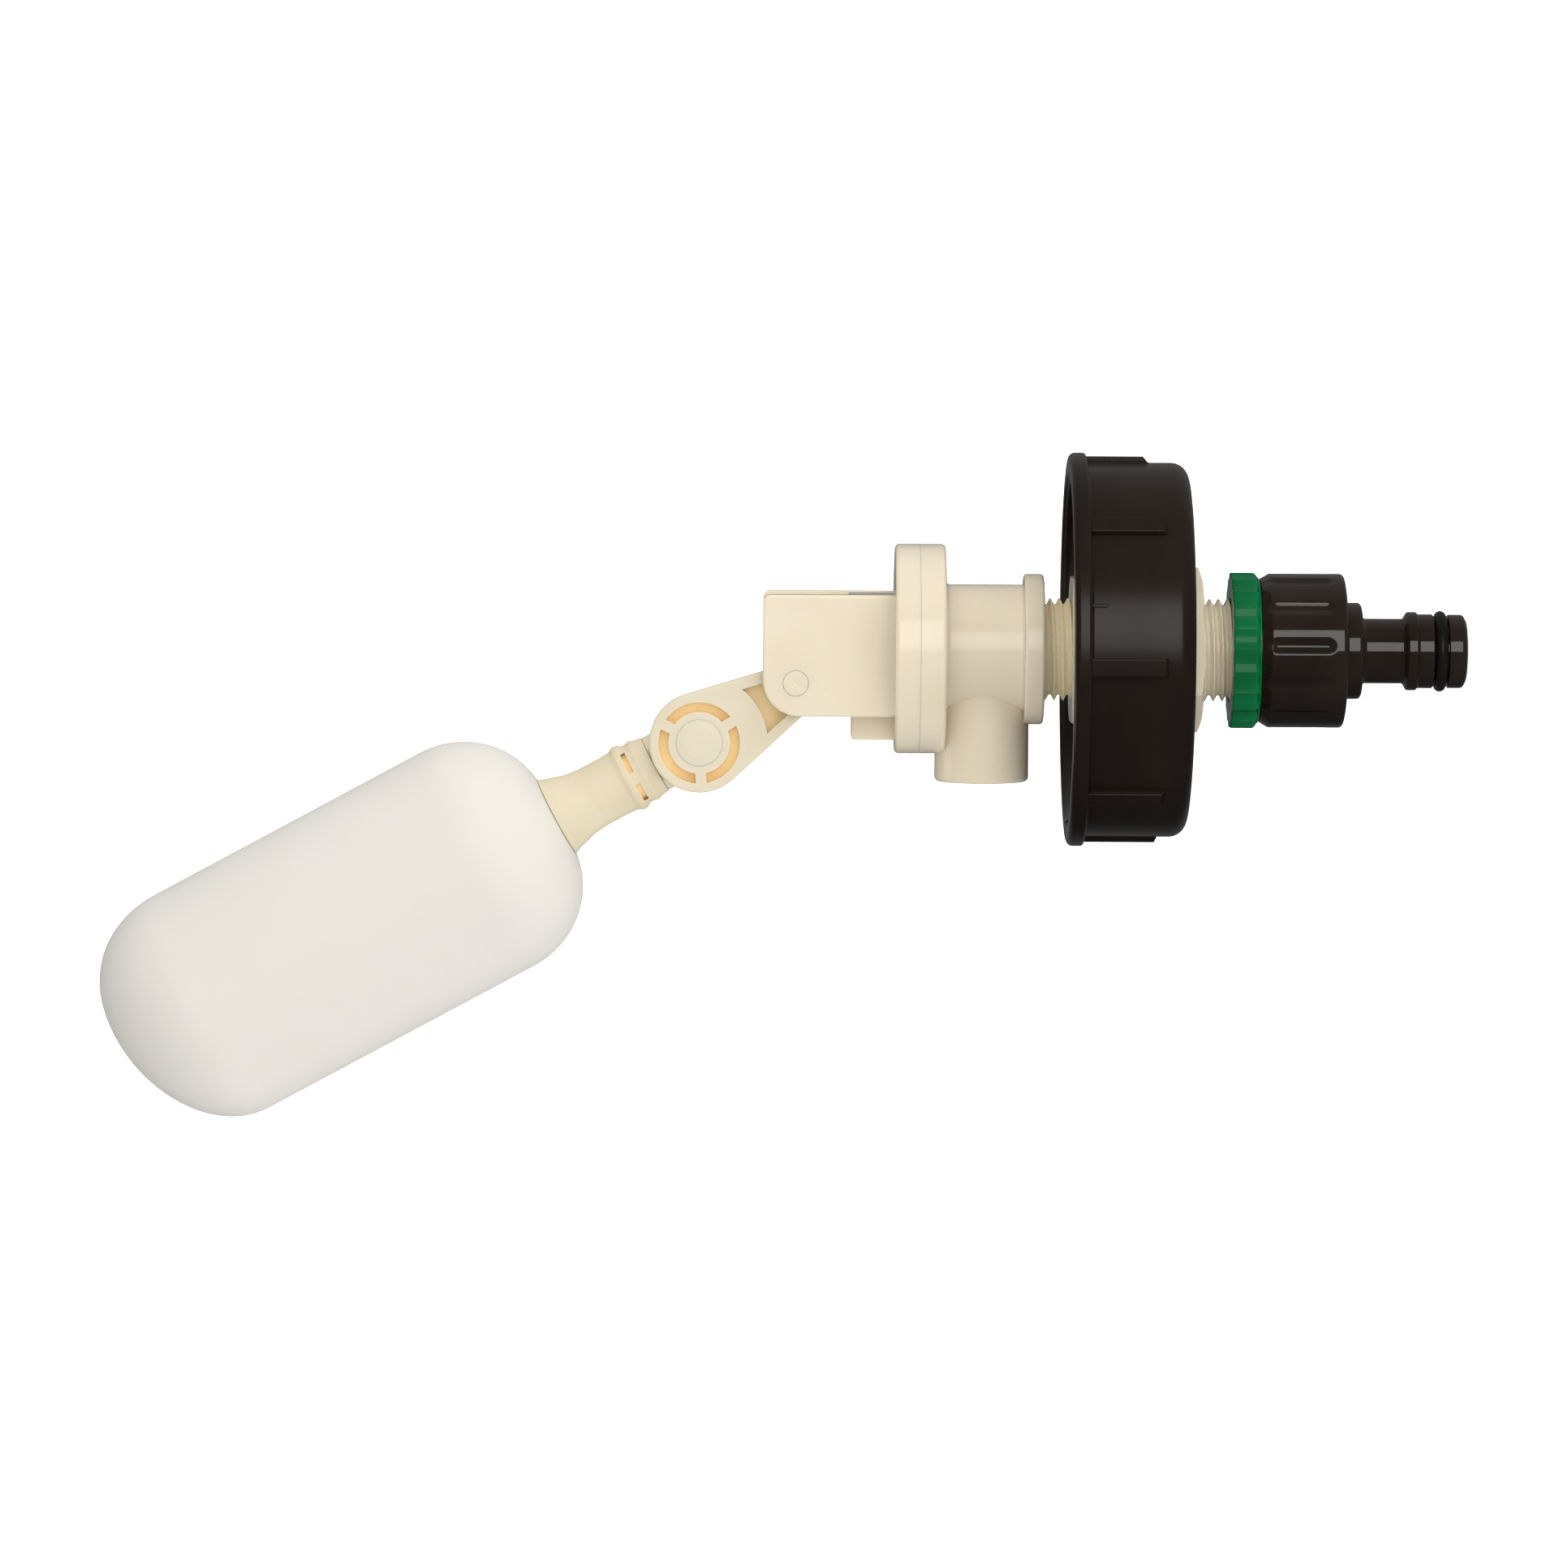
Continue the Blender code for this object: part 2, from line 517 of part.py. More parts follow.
def hang(piece, pivot, pivot_place):
    """Parents a piece to an axis empty and leaves it where it is."""
    piece.parent = pivot
    piece.location = piece.location - Vector(pivot_place) * MM


def main():
    clear_scene()
    parts = make_collection("float_valve")
    cutters = make_collection("float_valve_cutters")

    cream = make_material("cream_plastic", CREAM, 0.32)
    rubber = make_material("black_rubber", RUBBER, 0.6)
    grey_rubber = make_material("grey_rubber", GREY_RUBBER, 0.6)

    body = make_valve_body(parts, cutters)
    cover = make_front_cover(parts, cutters)
    lever = make_lever(parts, cutters)
    pad = make_pilot_pad(parts)
    bolt, joint_nut = make_joint_hardware(parts, cutters)
    knuckle = make_knuckle(parts, cutters)
    stem = make_stem(parts, cutters)
    shell = make_float(parts)
    pin = rod("pivot_pin", PIN_R, (-CHEEK_OUT, CHEEK_OUT), parts, place=PIVOT, turn=TO_FRONT)
    bleed_pin = rod("bleed_pin", 0.4, (-34.7, -28.8), parts, 12, place=(0, 0, -3.8))
    diaphragm = make_diaphragm(parts, cutters)
    insert = make_insert(parts, cutters)
    cap = make_cap(parts, cutters)
    inner_nut, outer_nut = make_nuts(parts, cutters)
    reducer = make_reducer(parts, cutters)
    connector = make_connector(parts, cutters)
    seals = make_seals(parts)

    finishes = [
        (body, cream), (cover, cream), (inner_nut, cream), (outer_nut, cream),
        (lever, make_material("lever_plastic", CREAM, 0.35)),
        (pad, rubber), (seals["spigot_o_ring"], rubber), (seals["cap_gasket"], rubber),
        (seals["inner_washer"], rubber), (diaphragm, grey_rubber),
        (seals["reducer_washer"], grey_rubber), (seals["connector_washer"], grey_rubber),
        (bolt, make_material("joint_plastic", CREAM, 0.35)),
        (joint_nut, make_material("joint_nut_plastic", CREAM, 0.4)),
        (knuckle, make_material("knuckle_plastic", WARM_CREAM, 0.38)),
        (stem, make_material("stem_plastic", WARM_CREAM, 0.38)),
        (shell, make_material("float_plastic", MILKY, 0.45)),
        (pin, make_material("pin_plastic", CREAM, 0.3)),
        (bleed_pin, make_material("pin_steel", STEEL, 0.25, 1.0)),
        (insert, make_material("insert_plastic", MILKY, 0.4)),
        (cap, make_material("cap_plastic", BLACK, 0.42)),
        (reducer, make_material("green_plastic", GREEN, 0.25)),
        (connector, make_material("connector_plastic", BLACK, 0.2)),
    ]
    for piece, material in finishes:
        piece.data.materials.append(material)

    swing_axis = make_pivot("swing_axis", PIVOT, parts)
    arm_axis = make_pivot("arm_axis", JOINT, parts)
    for piece in (lever, pad, bolt, joint_nut):
        hang(piece, swing_axis, PIVOT)
    for piece in (knuckle, stem, shell):
        hang(piece, arm_axis, JOINT)
    hang(arm_axis, swing_axis, PIVOT)

    for cutter in cutters.objects:
        cutter.hide_render = True
        cutter.display_type = "WIRE"


main()
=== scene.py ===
import json
import math

import bmesh
import bpy
from mathutils import Matrix, Vector


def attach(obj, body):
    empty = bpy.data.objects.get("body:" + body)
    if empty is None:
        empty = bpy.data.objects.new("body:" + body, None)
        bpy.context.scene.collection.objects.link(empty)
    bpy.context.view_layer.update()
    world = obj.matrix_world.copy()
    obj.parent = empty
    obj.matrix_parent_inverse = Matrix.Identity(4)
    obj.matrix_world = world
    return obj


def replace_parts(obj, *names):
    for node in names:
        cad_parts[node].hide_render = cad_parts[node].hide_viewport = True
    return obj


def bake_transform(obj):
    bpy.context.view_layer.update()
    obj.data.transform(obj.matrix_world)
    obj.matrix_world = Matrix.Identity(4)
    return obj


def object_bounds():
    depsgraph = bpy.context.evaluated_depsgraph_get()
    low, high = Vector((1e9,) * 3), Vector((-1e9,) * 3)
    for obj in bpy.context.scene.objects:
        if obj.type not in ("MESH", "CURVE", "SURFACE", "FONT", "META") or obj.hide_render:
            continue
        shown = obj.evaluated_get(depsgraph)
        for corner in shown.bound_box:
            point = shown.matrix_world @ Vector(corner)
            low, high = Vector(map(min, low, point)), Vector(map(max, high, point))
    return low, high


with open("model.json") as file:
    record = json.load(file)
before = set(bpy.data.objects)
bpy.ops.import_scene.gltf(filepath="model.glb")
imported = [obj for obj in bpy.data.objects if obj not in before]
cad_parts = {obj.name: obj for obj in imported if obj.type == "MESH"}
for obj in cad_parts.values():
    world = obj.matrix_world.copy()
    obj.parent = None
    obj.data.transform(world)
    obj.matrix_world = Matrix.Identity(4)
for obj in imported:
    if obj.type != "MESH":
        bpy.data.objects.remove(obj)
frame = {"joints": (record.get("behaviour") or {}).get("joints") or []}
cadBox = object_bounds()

mm = 0.001
sharpAngle = math.radians(32)
arcStep = 13                                     # degrees between the points of a rounded corner
joints = {joint["name"]: Vector(joint["pos_m"]) / mm for joint in frame["joints"] if "pos_m" in joint}
pivotPlace = joints["float_swing"]
jointPlace = joints["arm_adjust"]
armDrop = 28.5                                   # degrees that the arm hangs below level
swing = next(joint for joint in frame["joints"] if joint["name"] == "float_swing")
swingRange = max(swing["range_deg"])              # degrees from rest to closed

alongX = Matrix.Rotation(math.radians(90), 4, "Y")     # a turned piece's own axis is Z
toFront = Matrix.Translation(jointPlace) @ Matrix.Rotation(math.radians(90), 4, "X")
atPivot = Matrix.Translation(pivotPlace) @ Matrix.Rotation(math.radians(90), 4, "X")
alongArm = Matrix.Translation(jointPlace) @ Matrix.Rotation(-math.radians(90 + armDrop), 4, "Y")


# helpers for meshes work in millimetres until the mesh is stored
def storeMesh(name, shape):
    mesh = bpy.data.meshes.new(name)
    bmesh.ops.scale(shape, vec=(mm, mm, mm), verts=shape.verts)
    shape.to_mesh(mesh)
    shape.free()
    piece = bpy.data.objects.new(name, mesh)
    bpy.context.scene.collection.objects.link(piece)
    return piece


def settle(piece):
    # turns the piece's modifiers into plain mesh
    ready = piece.evaluated_get(bpy.context.evaluated_depsgraph_get())
    mesh = bpy.data.meshes.new_from_object(ready)
    piece.modifiers.clear()
    piece.data = mesh
    return piece


def joinOrCut(piece, other, operation):
    step = piece.modifiers.new("step", "BOOLEAN")
    step.operation = operation
    step.solver = "EXACT"
    step.object = other
    settle(piece)
    bpy.data.objects.remove(other, do_unlink=True)
    return piece


def cutAway(piece, *others):
    for other in others:
        joinOrCut(piece, other, "DIFFERENCE")
    return piece


def weldOn(piece, *others):
    for other in others:
        joinOrCut(piece, other, "UNION")
    return piece


def breakEdges(piece, width):
    # a small round on every sharp edge, as a moulding has
    bevel = piece.modifiers.new("edges", "BEVEL")
    bevel.width = width * mm
    bevel.segments = 2
    bevel.limit_method = "ANGLE"
    bevel.angle_limit = math.radians(50)
    return settle(piece)


def softCorner(before, corner, after, radius):
    # an arc in place of a corner of an outline
    before, corner, after = Vector(before), Vector(corner), Vector(after)
    inward = before - corner
    outward = after - corner
    if not radius or inward.length < 1e-6 or outward.length < 1e-6:
        return [tuple(corner)]
    turn = math.pi - inward.angle(outward)
    if turn < 0.05:
        return [tuple(corner)]
    reach = min(radius * math.tan(turn / 2), inward.length * 0.49, outward.length * 0.49)
    radius = reach / math.tan(turn / 2)
    halfway = (inward.normalized() + outward.normalized()).normalized()
    middle = corner + halfway * radius / math.cos(turn / 2)
    start = corner + inward.normalized() * reach - middle
    count = max(2, math.ceil(math.degrees(turn) / arcStep))
    side = math.copysign(1, start.x * (corner - middle).y - start.y * (corner - middle).x)
    points = []
    for i in range(count + 1):
        angle = side * turn * i / count
        points.append((middle.x + start.x * math.cos(angle) - start.y * math.sin(angle),
                       middle.y + start.x * math.sin(angle) + start.y * math.cos(angle)))
    return points


def softOutline(points, closed):
    # points are (radius, station) or (radius, station, corner radius)
    count = len(points)
    outline = []
    for i, point in enumerate(points):
        atEnd = not closed and i in (0, count - 1)
        if len(point) < 3 or atEnd:
            outline.append(tuple(point[:2]))
        else:
            outline += softCorner(points[i - 1][:2], point[:2], points[(i + 1) % count][:2], point[2])
    return outline


def turned(name, points, place=alongX, segments=96, closed=True):
    # a profile spun about its own Z axis
    shape = bmesh.new()
    outline = softOutline(points, closed)
    verts = [shape.verts.new((radius, 0, station)) for radius, station in outline]
    last = len(verts) if closed else len(verts) - 1
    edges = [shape.edges.new((verts[i], verts[(i + 1) % len(verts)])) for i in range(last)]
    bmesh.ops.spin(shape, geom=verts + edges, cent=(0, 0, 0), axis=(0, 0, 1), angle=math.tau,
                   steps=segments, use_merge=True)
    bmesh.ops.remove_doubles(shape, verts=shape.verts, dist=0.002)
    bmesh.ops.recalc_face_normals(shape, faces=shape.faces)
    bmesh.ops.transform(shape, matrix=place, verts=shape.verts)
    return storeMesh(name, shape)


def rodPiece(name, radius, low, high, where, segments=64):
    return turned(name, [(0, low), (radius, low, 0), (radius, high, 0), (0, high)], where, segments, False)


def arcPoints(middle, radius, start, end, count):
    angles = [math.radians(start + (end - start) * i / count) for i in range(count + 1)]
    return [(middle[0] + radius * math.cos(a), middle[1] + radius * math.sin(a)) for a in angles]


def slab(name, outline, near, far, rounding=0.0, place=Matrix.Identity(4)):
    # an outline in the XZ plane, given thickness from one Y to another
    shape = bmesh.new()
    face = shape.faces.new([shape.verts.new((x, near, z)) for x, z in outline])
    grown = bmesh.ops.extrude_face_region(shape, geom=[face])["geom"]
    lifted = [vert for vert in grown if isinstance(vert, bmesh.types.BMVert)]
    bmesh.ops.translate(shape, vec=(0, far - near, 0), verts=lifted)
    bmesh.ops.recalc_face_normals(shape, faces=shape.faces)
    if rounding:
        rims = [edge for edge in shape.edges if abs(edge.verts[0].co.y - edge.verts[1].co.y) < 1e-6]
        bmesh.ops.bevel(shape, geom=rims, offset=rounding, segments=3, profile=0.5, affect="EDGES")
    bmesh.ops.transform(shape, matrix=place, verts=shape.verts)
    return storeMesh(name, shape)


def block(name, low, high, rounding=0.0, place=Matrix.Identity(4)):
    shape = bmesh.new()
    size = Vector(high) - Vector(low)
    middle = (Vector(high) + Vector(low)) / 2
    bmesh.ops.create_cube(shape, size=1.0, matrix=Matrix.Translation(middle) @ Matrix.Diagonal((*size, 1)))
    if rounding:
        bmesh.ops.bevel(shape, geom=list(shape.edges), offset=rounding, segments=3, profile=0.5,
                        affect="EDGES")
    bmesh.ops.transform(shape, matrix=place, verts=shape.verts)
    return storeMesh(name, shape)


# helpers for node trees: a value may be a number or another node's socket
def wire(tree, value, socket):
    if isinstance(value, bpy.types.NodeSocket):
        tree.links.new(value, socket)
    else:
        socket.default_value = value


def maths(tree, operation, *values):
    node = tree.nodes.new("ShaderNodeMath")
    node.operation = operation
    for value, socket in zip(values, node.inputs):
        wire(tree, value, socket)
    return node.outputs[0]


def newTree(name, inputs):
    # a geometry tree with named inputs, its own geometry first
    tree = bpy.data.node_groups.new(name, "GeometryNodeTree")
    face = tree.interface
    face.new_socket("Geometry", in_out="INPUT", socket_type="NodeSocketGeometry")
    for label, kind in inputs:
        face.new_socket(label, in_out="INPUT", socket_type=kind)
    face.new_socket("Geometry", in_out="OUTPUT", socket_type="NodeSocketGeometry")
    entry = tree.nodes.new("NodeGroupInput")
    return tree, {socket.name: socket for socket in entry.outputs if socket.name}


def endTree(tree, geometry, material):
    real = tree.nodes.new("GeometryNodeRealizeInstances")
    paint = tree.nodes.new("GeometryNodeSetMaterial")
    leave = tree.nodes.new("NodeGroupOutput")
    tree.links.new(geometry, real.inputs["Geometry"])
    tree.links.new(real.outputs["Geometry"], paint.inputs["Geometry"])
    tree.links.new(material, paint.inputs["Material"])
    tree.links.new(paint.outputs["Geometry"], leave.inputs[0])
    return tree


def grow(piece, tree, values):
    # runs a tree on a piece with the named values, then makes it plain mesh
    live = piece.modifiers.new("grow", "NODES")
    live.node_group = tree
    sockets = {item.name: item.identifier for item in tree.interface.items_tree
               if item.item_type == "SOCKET" and item.in_out == "INPUT"}
    for label, value in values.items():
        live[sockets[label]] = value
    return settle(piece)


length = "NodeSocketFloat"
number = "NodeSocketInt"
finish = "NodeSocketMaterial"


def ringTree():
    # copies its own geometry round the X axis
    tree, given = newTree("ringOfCopies", [("Count", number), ("First Angle", length), ("Material", finish)])
    points = tree.nodes.new("GeometryNodePoints")
    index = tree.nodes.new("GeometryNodeInputIndex")
    spin = tree.nodes.new("ShaderNodeCombineXYZ")
    copies = tree.nodes.new("GeometryNodeInstanceOnPoints")
    step = maths(tree, "DIVIDE", math.tau, given["Count"])
    angle = maths(tree, "MULTIPLY_ADD", index.outputs[0], step, given["First Angle"])
    tree.links.new(angle, spin.inputs["X"])
    tree.links.new(given["Count"], points.inputs["Count"])
    tree.links.new(points.outputs[0], copies.inputs["Points"])
    tree.links.new(given["Geometry"], copies.inputs["Instance"])
    tree.links.new(spin.outputs[0], copies.inputs["Rotation"])
    return endTree(tree, copies.outputs[0], given["Material"])


def fluteTree():
    # presses hollow flutes with round ends into the outside of a turned piece
    labels = ["Count", "First Angle", "Depth", "Half Width", "Roundness", "Start", "End", "Inside Radius"]
    tree, given = newTree("pressedFlutes", [(label, length) for label in labels] + [("Material", finish)])
    place = tree.nodes.new("GeometryNodeInputPosition")
    parts = tree.nodes.new("ShaderNodeSeparateXYZ")
    tree.links.new(place.outputs[0], parts.inputs[0])
    x, y, z = parts.outputs
    radius = maths(tree, "SQRT", maths(tree, "MULTIPLY_ADD", y, y, maths(tree, "MULTIPLY", z, z)))
    angle = maths(tree, "ARCTAN2", z, maths(tree, "MULTIPLY", y, -1.0))
    step = maths(tree, "DIVIDE", math.tau, given["Count"])
    turns = maths(tree, "DIVIDE", maths(tree, "SUBTRACT", angle, given["First Angle"]), step)
    off = maths(tree, "ABSOLUTE", maths(tree, "SUBTRACT", turns, maths(tree, "ROUND", turns)))
    across = maths(tree, "MULTIPLY", maths(tree, "MULTIPLY", off, step), radius)
    beyond = maths(tree, "MAXIMUM", maths(tree, "SUBTRACT", given["Start"], x),
                   maths(tree, "SUBTRACT", x, given["End"]))
    beyond = maths(tree, "MAXIMUM", beyond, 0.0)
    beyondSquared = maths(tree, "MULTIPLY", beyond, beyond)
    away = maths(tree, "SQRT", maths(tree, "MULTIPLY_ADD", across, across, beyondSquared))
    share = maths(tree, "MINIMUM", maths(tree, "DIVIDE", away, given["Half Width"]), 1.0)
    press = maths(tree, "SUBTRACT", 1.0, maths(tree, "POWER", share, given["Roundness"]))
    outside = maths(tree, "GREATER_THAN", radius, given["Inside Radius"])
    dip = maths(tree, "MULTIPLY", maths(tree, "MULTIPLY", press, given["Depth"]), outside)
    scale = maths(tree, "DIVIDE", maths(tree, "SUBTRACT", radius, dip), maths(tree, "MAXIMUM", radius, 1e-6))
    moved = tree.nodes.new("ShaderNodeCombineXYZ")
    wire(tree, x, moved.inputs[0])
    wire(tree, maths(tree, "MULTIPLY", y, scale), moved.inputs[1])
    wire(tree, maths(tree, "MULTIPLY", z, scale), moved.inputs[2])
    shift = tree.nodes.new("GeometryNodeSetPosition")
    tree.links.new(given["Geometry"], shift.inputs["Geometry"])
    tree.links.new(moved.outputs[0], shift.inputs["Position"])
    return endTree(tree, shift.outputs[0], given["Material"])


def threadTree(name, crestTurn):
    # a right-hand ridge wound round the X axis, thinning to nothing at both ends
    labels = ["Start", "Length", "Pitch", "Path Radius", "Height", "Base Width", "Crest Width"]
    tree, given = newTree(name, [(label, length) for label in labels] + [("Material", finish)])
    path = tree.nodes.new("GeometryNodeCurveSpiral")
    path.inputs["Resolution"].default_value = 64
    path.inputs["Reverse"].default_value = True
    turns = maths(tree, "DIVIDE", given["Length"], given["Pitch"])
    wire(tree, turns, path.inputs["Rotations"])
    wire(tree, given["Path Radius"], path.inputs["Start Radius"])
    wire(tree, given["Path Radius"], path.inputs["End Radius"])
    wire(tree, given["Length"], path.inputs["Height"])
    upright = tree.nodes.new("GeometryNodeSetCurveNormal")
    upright.mode = "Z_UP"
    tree.links.new(path.outputs[0], upright.inputs[0])
    along = tree.nodes.new("GeometryNodeSplineParameter").outputs["Factor"]
    toEnd = maths(tree, "MINIMUM", along, maths(tree, "SUBTRACT", 1.0, along))
    taper = maths(tree, "MINIMUM", maths(tree, "MULTIPLY", maths(tree, "MULTIPLY", toEnd, turns), 3.0), 1.0)
    swell = tree.nodes.new("GeometryNodeSetCurveRadius")
    tree.links.new(upright.outputs[0], swell.inputs["Curve"])
    wire(tree, maths(tree, "MAXIMUM", taper, 0.02), swell.inputs["Radius"])
    section = tree.nodes.new("GeometryNodeCurvePrimitiveQuadrilateral")
    section.mode = "TRAPEZOID"
    wire(tree, given["Height"], section.inputs["Height"])
    wire(tree, given["Base Width"], section.inputs["Bottom Width"])
    wire(tree, given["Crest Width"], section.inputs["Top Width"])
    section.inputs["Offset"].default_value = 0.0
    turnedSection = tree.nodes.new("GeometryNodeTransform")
    turnedSection.inputs["Rotation"].default_value = (0, 0, math.radians(crestTurn))
    tree.links.new(section.outputs[0], turnedSection.inputs["Geometry"])
    ridge = tree.nodes.new("GeometryNodeCurveToMesh")
    ridge.inputs["Fill Caps"].default_value = True
    tree.links.new(swell.outputs[0], ridge.inputs["Curve"])
    tree.links.new(turnedSection.outputs[0], ridge.inputs["Profile Curve"])
    lay = tree.nodes.new("GeometryNodeTransform")
    lay.inputs["Rotation"].default_value = (0, math.radians(90), 0)
    shift = tree.nodes.new("ShaderNodeCombineXYZ")
    wire(tree, given["Start"], shift.inputs["X"])
    tree.links.new(ridge.outputs[0], lay.inputs["Geometry"])
    tree.links.new(shift.outputs[0], lay.inputs["Translation"])
    return endTree(tree, lay.outputs[0], given["Material"])


def paint(name, look):
    # moulded plastic or rubber: cloudy colour, uneven gloss and a fine grain
    material = bpy.data.materials.new(name)
    material.use_nodes = True
    tree = material.node_tree
    shader = tree.nodes["Principled BSDF"]
    shader.inputs["Metallic"].default_value = look.get("metal", 0.0)
    shader.inputs["IOR"].default_value = look.get("ior", 1.48)
    shader.inputs["Subsurface Weight"].default_value = look.get("milk", 0.0)
    shader.inputs["Subsurface Radius"].default_value = look.get("milkReach", (1.0, 0.7, 0.4))
    shader.inputs["Subsurface Scale"].default_value = look.get("milkDepth", 1.0) * mm
    shader.inputs["Coat Weight"].default_value = look.get("coat", 0.0)
    shader.inputs["Coat Roughness"].default_value = look.get("coatRough", 0.1)
    shader.inputs["Coat IOR"].default_value = look.get("coatIor", 1.5)
    spot = tree.nodes.new("ShaderNodeTexCoord")
    turn = tree.nodes.new("ShaderNodeMapping")
    turn.inputs["Scale"].default_value = look.get("stretch", (1, 1, 1))
    tree.links.new(spot.outputs["Object"], turn.inputs["Vector"])

    def noise(size, detail):
        node = tree.nodes.new("ShaderNodeTexNoise")
        node.inputs["Scale"].default_value = 1000.0 / size
        node.inputs["Detail"].default_value = detail
        tree.links.new(turn.outputs[0], node.inputs["Vector"])
        return node.outputs["Fac"]

    cloud = tree.nodes.new("ShaderNodeValToRGB")
    cloud.color_ramp.elements[0].position = 0.3
    cloud.color_ramp.elements[1].position = 0.7
    cloud.color_ramp.elements[0].color = (*look["deep"], 1)
    cloud.color_ramp.elements[1].color = (*look["pale"], 1)
    tree.links.new(noise(look.get("cloudSize", 14.0), 3.0), cloud.inputs[0])
    tree.links.new(cloud.outputs[0], shader.inputs["Base Color"])

    gloss = tree.nodes.new("ShaderNodeMapRange")
    gloss.inputs["To Min"].default_value = look["rough"] - look.get("roughSpread", 0.05)
    gloss.inputs["To Max"].default_value = look["rough"] + look.get("roughSpread", 0.05)
    tree.links.new(noise(look.get("smearSize", 5.0), 4.0), gloss.inputs["Value"])
    tree.links.new(gloss.outputs[0], shader.inputs["Roughness"])

    grain = tree.nodes.new("ShaderNodeBump")
    grain.inputs["Strength"].default_value = look.get("grain", 0.12)
    grain.inputs["Distance"].default_value = 0.05 * mm
    wave = tree.nodes.new("ShaderNodeBump")
    wave.inputs["Strength"].default_value = look.get("ripple", 0.10)
    wave.inputs["Distance"].default_value = 0.4 * mm
    tree.links.new(noise(look.get("rippleSize", 7.0), 1.0), wave.inputs["Height"])
    tree.links.new(noise(look.get("grainSize", 0.6), 3.0), grain.inputs["Height"])
    tree.links.new(wave.outputs[0], grain.inputs["Normal"])
    tree.links.new(grain.outputs[0], shader.inputs["Normal"])
    return material


print("finishes")
creamBody = paint("creamBodyPlastic", {
    "deep": (0.775, 0.685, 0.52), "pale": (0.815, 0.735, 0.575), "rough": 0.30, "milk": 0.3,
    "milkDepth": 1.5, "milkReach": (1.0, 0.80, 0.55), "coat": 0.8, "coatRough": 0.05, "coatIor": 1.6,
    "ripple": 0.10})
# a lighter copy of the body's plastic for part of the thread: painted light, standing in for the glow through
# the plastic and the light its grooves lose
paintedLightThread = paint("paintedLightThreadPlastic", {
    "deep": (0.92, 0.80, 0.56), "pale": (0.95, 0.85, 0.63), "rough": 0.34, "milk": 0.5,
    "milkDepth": 2.4, "milkReach": (1.0, 0.76, 0.46)})
creamLever = paint("creamLeverPlastic", {
    "deep": (0.70, 0.625, 0.465), "pale": (0.74, 0.67, 0.525), "rough": 0.40, "milk": 0.3,
    "milkDepth": 1.4, "milkReach": (1.0, 0.70, 0.34)})
warmStem = paint("warmStemPlastic", {
    "deep": (0.705, 0.615, 0.43), "pale": (0.75, 0.68, 0.51), "rough": 0.42, "milk": 0.3,
    "milkDepth": 1.6, "milkReach": (1.0, 0.68, 0.32)})
# a yellow painted glow for recess floors and walls, standing in for light scattered through the plastic into
# them
paintedGlowRecess = paint("paintedGlowRecessPlastic", {
    "deep": (0.90, 0.68, 0.34), "pale": (0.94, 0.75, 0.42), "rough": 0.5, "cloudSize": 4.0})
milkyFloat = paint("milkyFloatPlastic", {
    "deep": (0.74, 0.71, 0.65), "pale": (0.765, 0.735, 0.68), "rough": 0.46, "milk": 0.35,
    "milkDepth": 3.0, "milkReach": (1.0, 0.9, 0.75), "cloudSize": 40.0, "ripple": 0.12,
    "rippleSize": 12.0, "grainSize": 1.0})
blackCap = paint("blackCapPlastic", {
    "deep": (0.010, 0.006, 0.0042), "pale": (0.017, 0.0105, 0.0072), "rough": 0.25, "roughSpread": 0.06,
    "ior": 1.52, "stretch": (1, 0.25, 0.25), "smearSize": 9.0, "grain": 0.2, "grainSize": 0.9,
    "ripple": 0.3, "rippleSize": 9.0})
blackConnector = paint("blackConnectorPlastic", {
    "deep": (0.015, 0.0095, 0.0075), "pale": (0.024, 0.016, 0.013), "rough": 0.07, "roughSpread": 0.03,
    "grain": 0.05, "ripple": 0.10, "ior": 1.85})
greenRing = paint("greenRingPlastic", {
    "deep": (0.0010, 0.118, 0.034), "pale": (0.0014, 0.145, 0.043), "rough": 0.18, "roughSpread": 0.03,
    "ior": 1.42, "cloudSize": 6.0})
blackRubber = paint("blackSealRubber", {
    "deep": (0.006, 0.0055, 0.005), "pale": (0.010, 0.009, 0.0085), "rough": 0.3, "grain": 0.15,
    "grainSize": 0.35})
greyRubber = paint("greySealRubber", {
    "deep": (0.15, 0.155, 0.16), "pale": (0.22, 0.225, 0.23), "rough": 0.58, "grain": 0.3,
    "grainSize": 0.35})
drawnSteel = paint("drawnPinSteel", {
    "deep": (0.48, 0.48, 0.47), "pale": (0.62, 0.62, 0.60), "rough": 0.28, "metal": 1.0,
    "stretch": (0.1, 1, 1), "cloudSize": 0.5})


def place(piece, material, body, slotName, *nodes):
    # smooth shading, a finish, and the body it moves with
    for polygon in piece.data.polygons:
        polygon.use_smooth = True
    piece.data.set_sharp_from_angle(angle=sharpAngle)
    even = piece.modifiers.new("even", "WEIGHTED_NORMAL")
    even.keep_sharp = True
    settle(piece)
    if material:
        piece.data.materials.clear()
        piece.data.materials.append(material)
    if body:
        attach(piece, body)
    if nodes:
        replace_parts(piece, *nodes)
    return piece


ringOfCopies = ringTree()
pressedFlutes = fluteTree()
outerThread = threadTree("outerThread", -90)
innerThread = threadTree("innerThread", 90)


def emptyPiece(name):
    return storeMesh(name, bmesh.new())


def woundThread(name, tree, material, start, end, pitch, root, crest):
    # root and crest are radii, and the ridge's foot is sunk a little below its root
    sink = math.copysign(0.35, crest - root)
    height = abs(crest - root) + abs(sink)
    middle = (root - sink + crest) / 2
    slope = pitch * 0.88 * height / abs(crest - root)
    return grow(emptyPiece(name), tree, {
        "Start": start * mm, "Length": (end - start) * mm, "Pitch": pitch * mm,
        "Path Radius": middle * mm, "Height": height * mm,
        "Base Width": min(slope, pitch * 0.98) * mm, "Crest Width": pitch * 0.14 * mm, "Material": material})


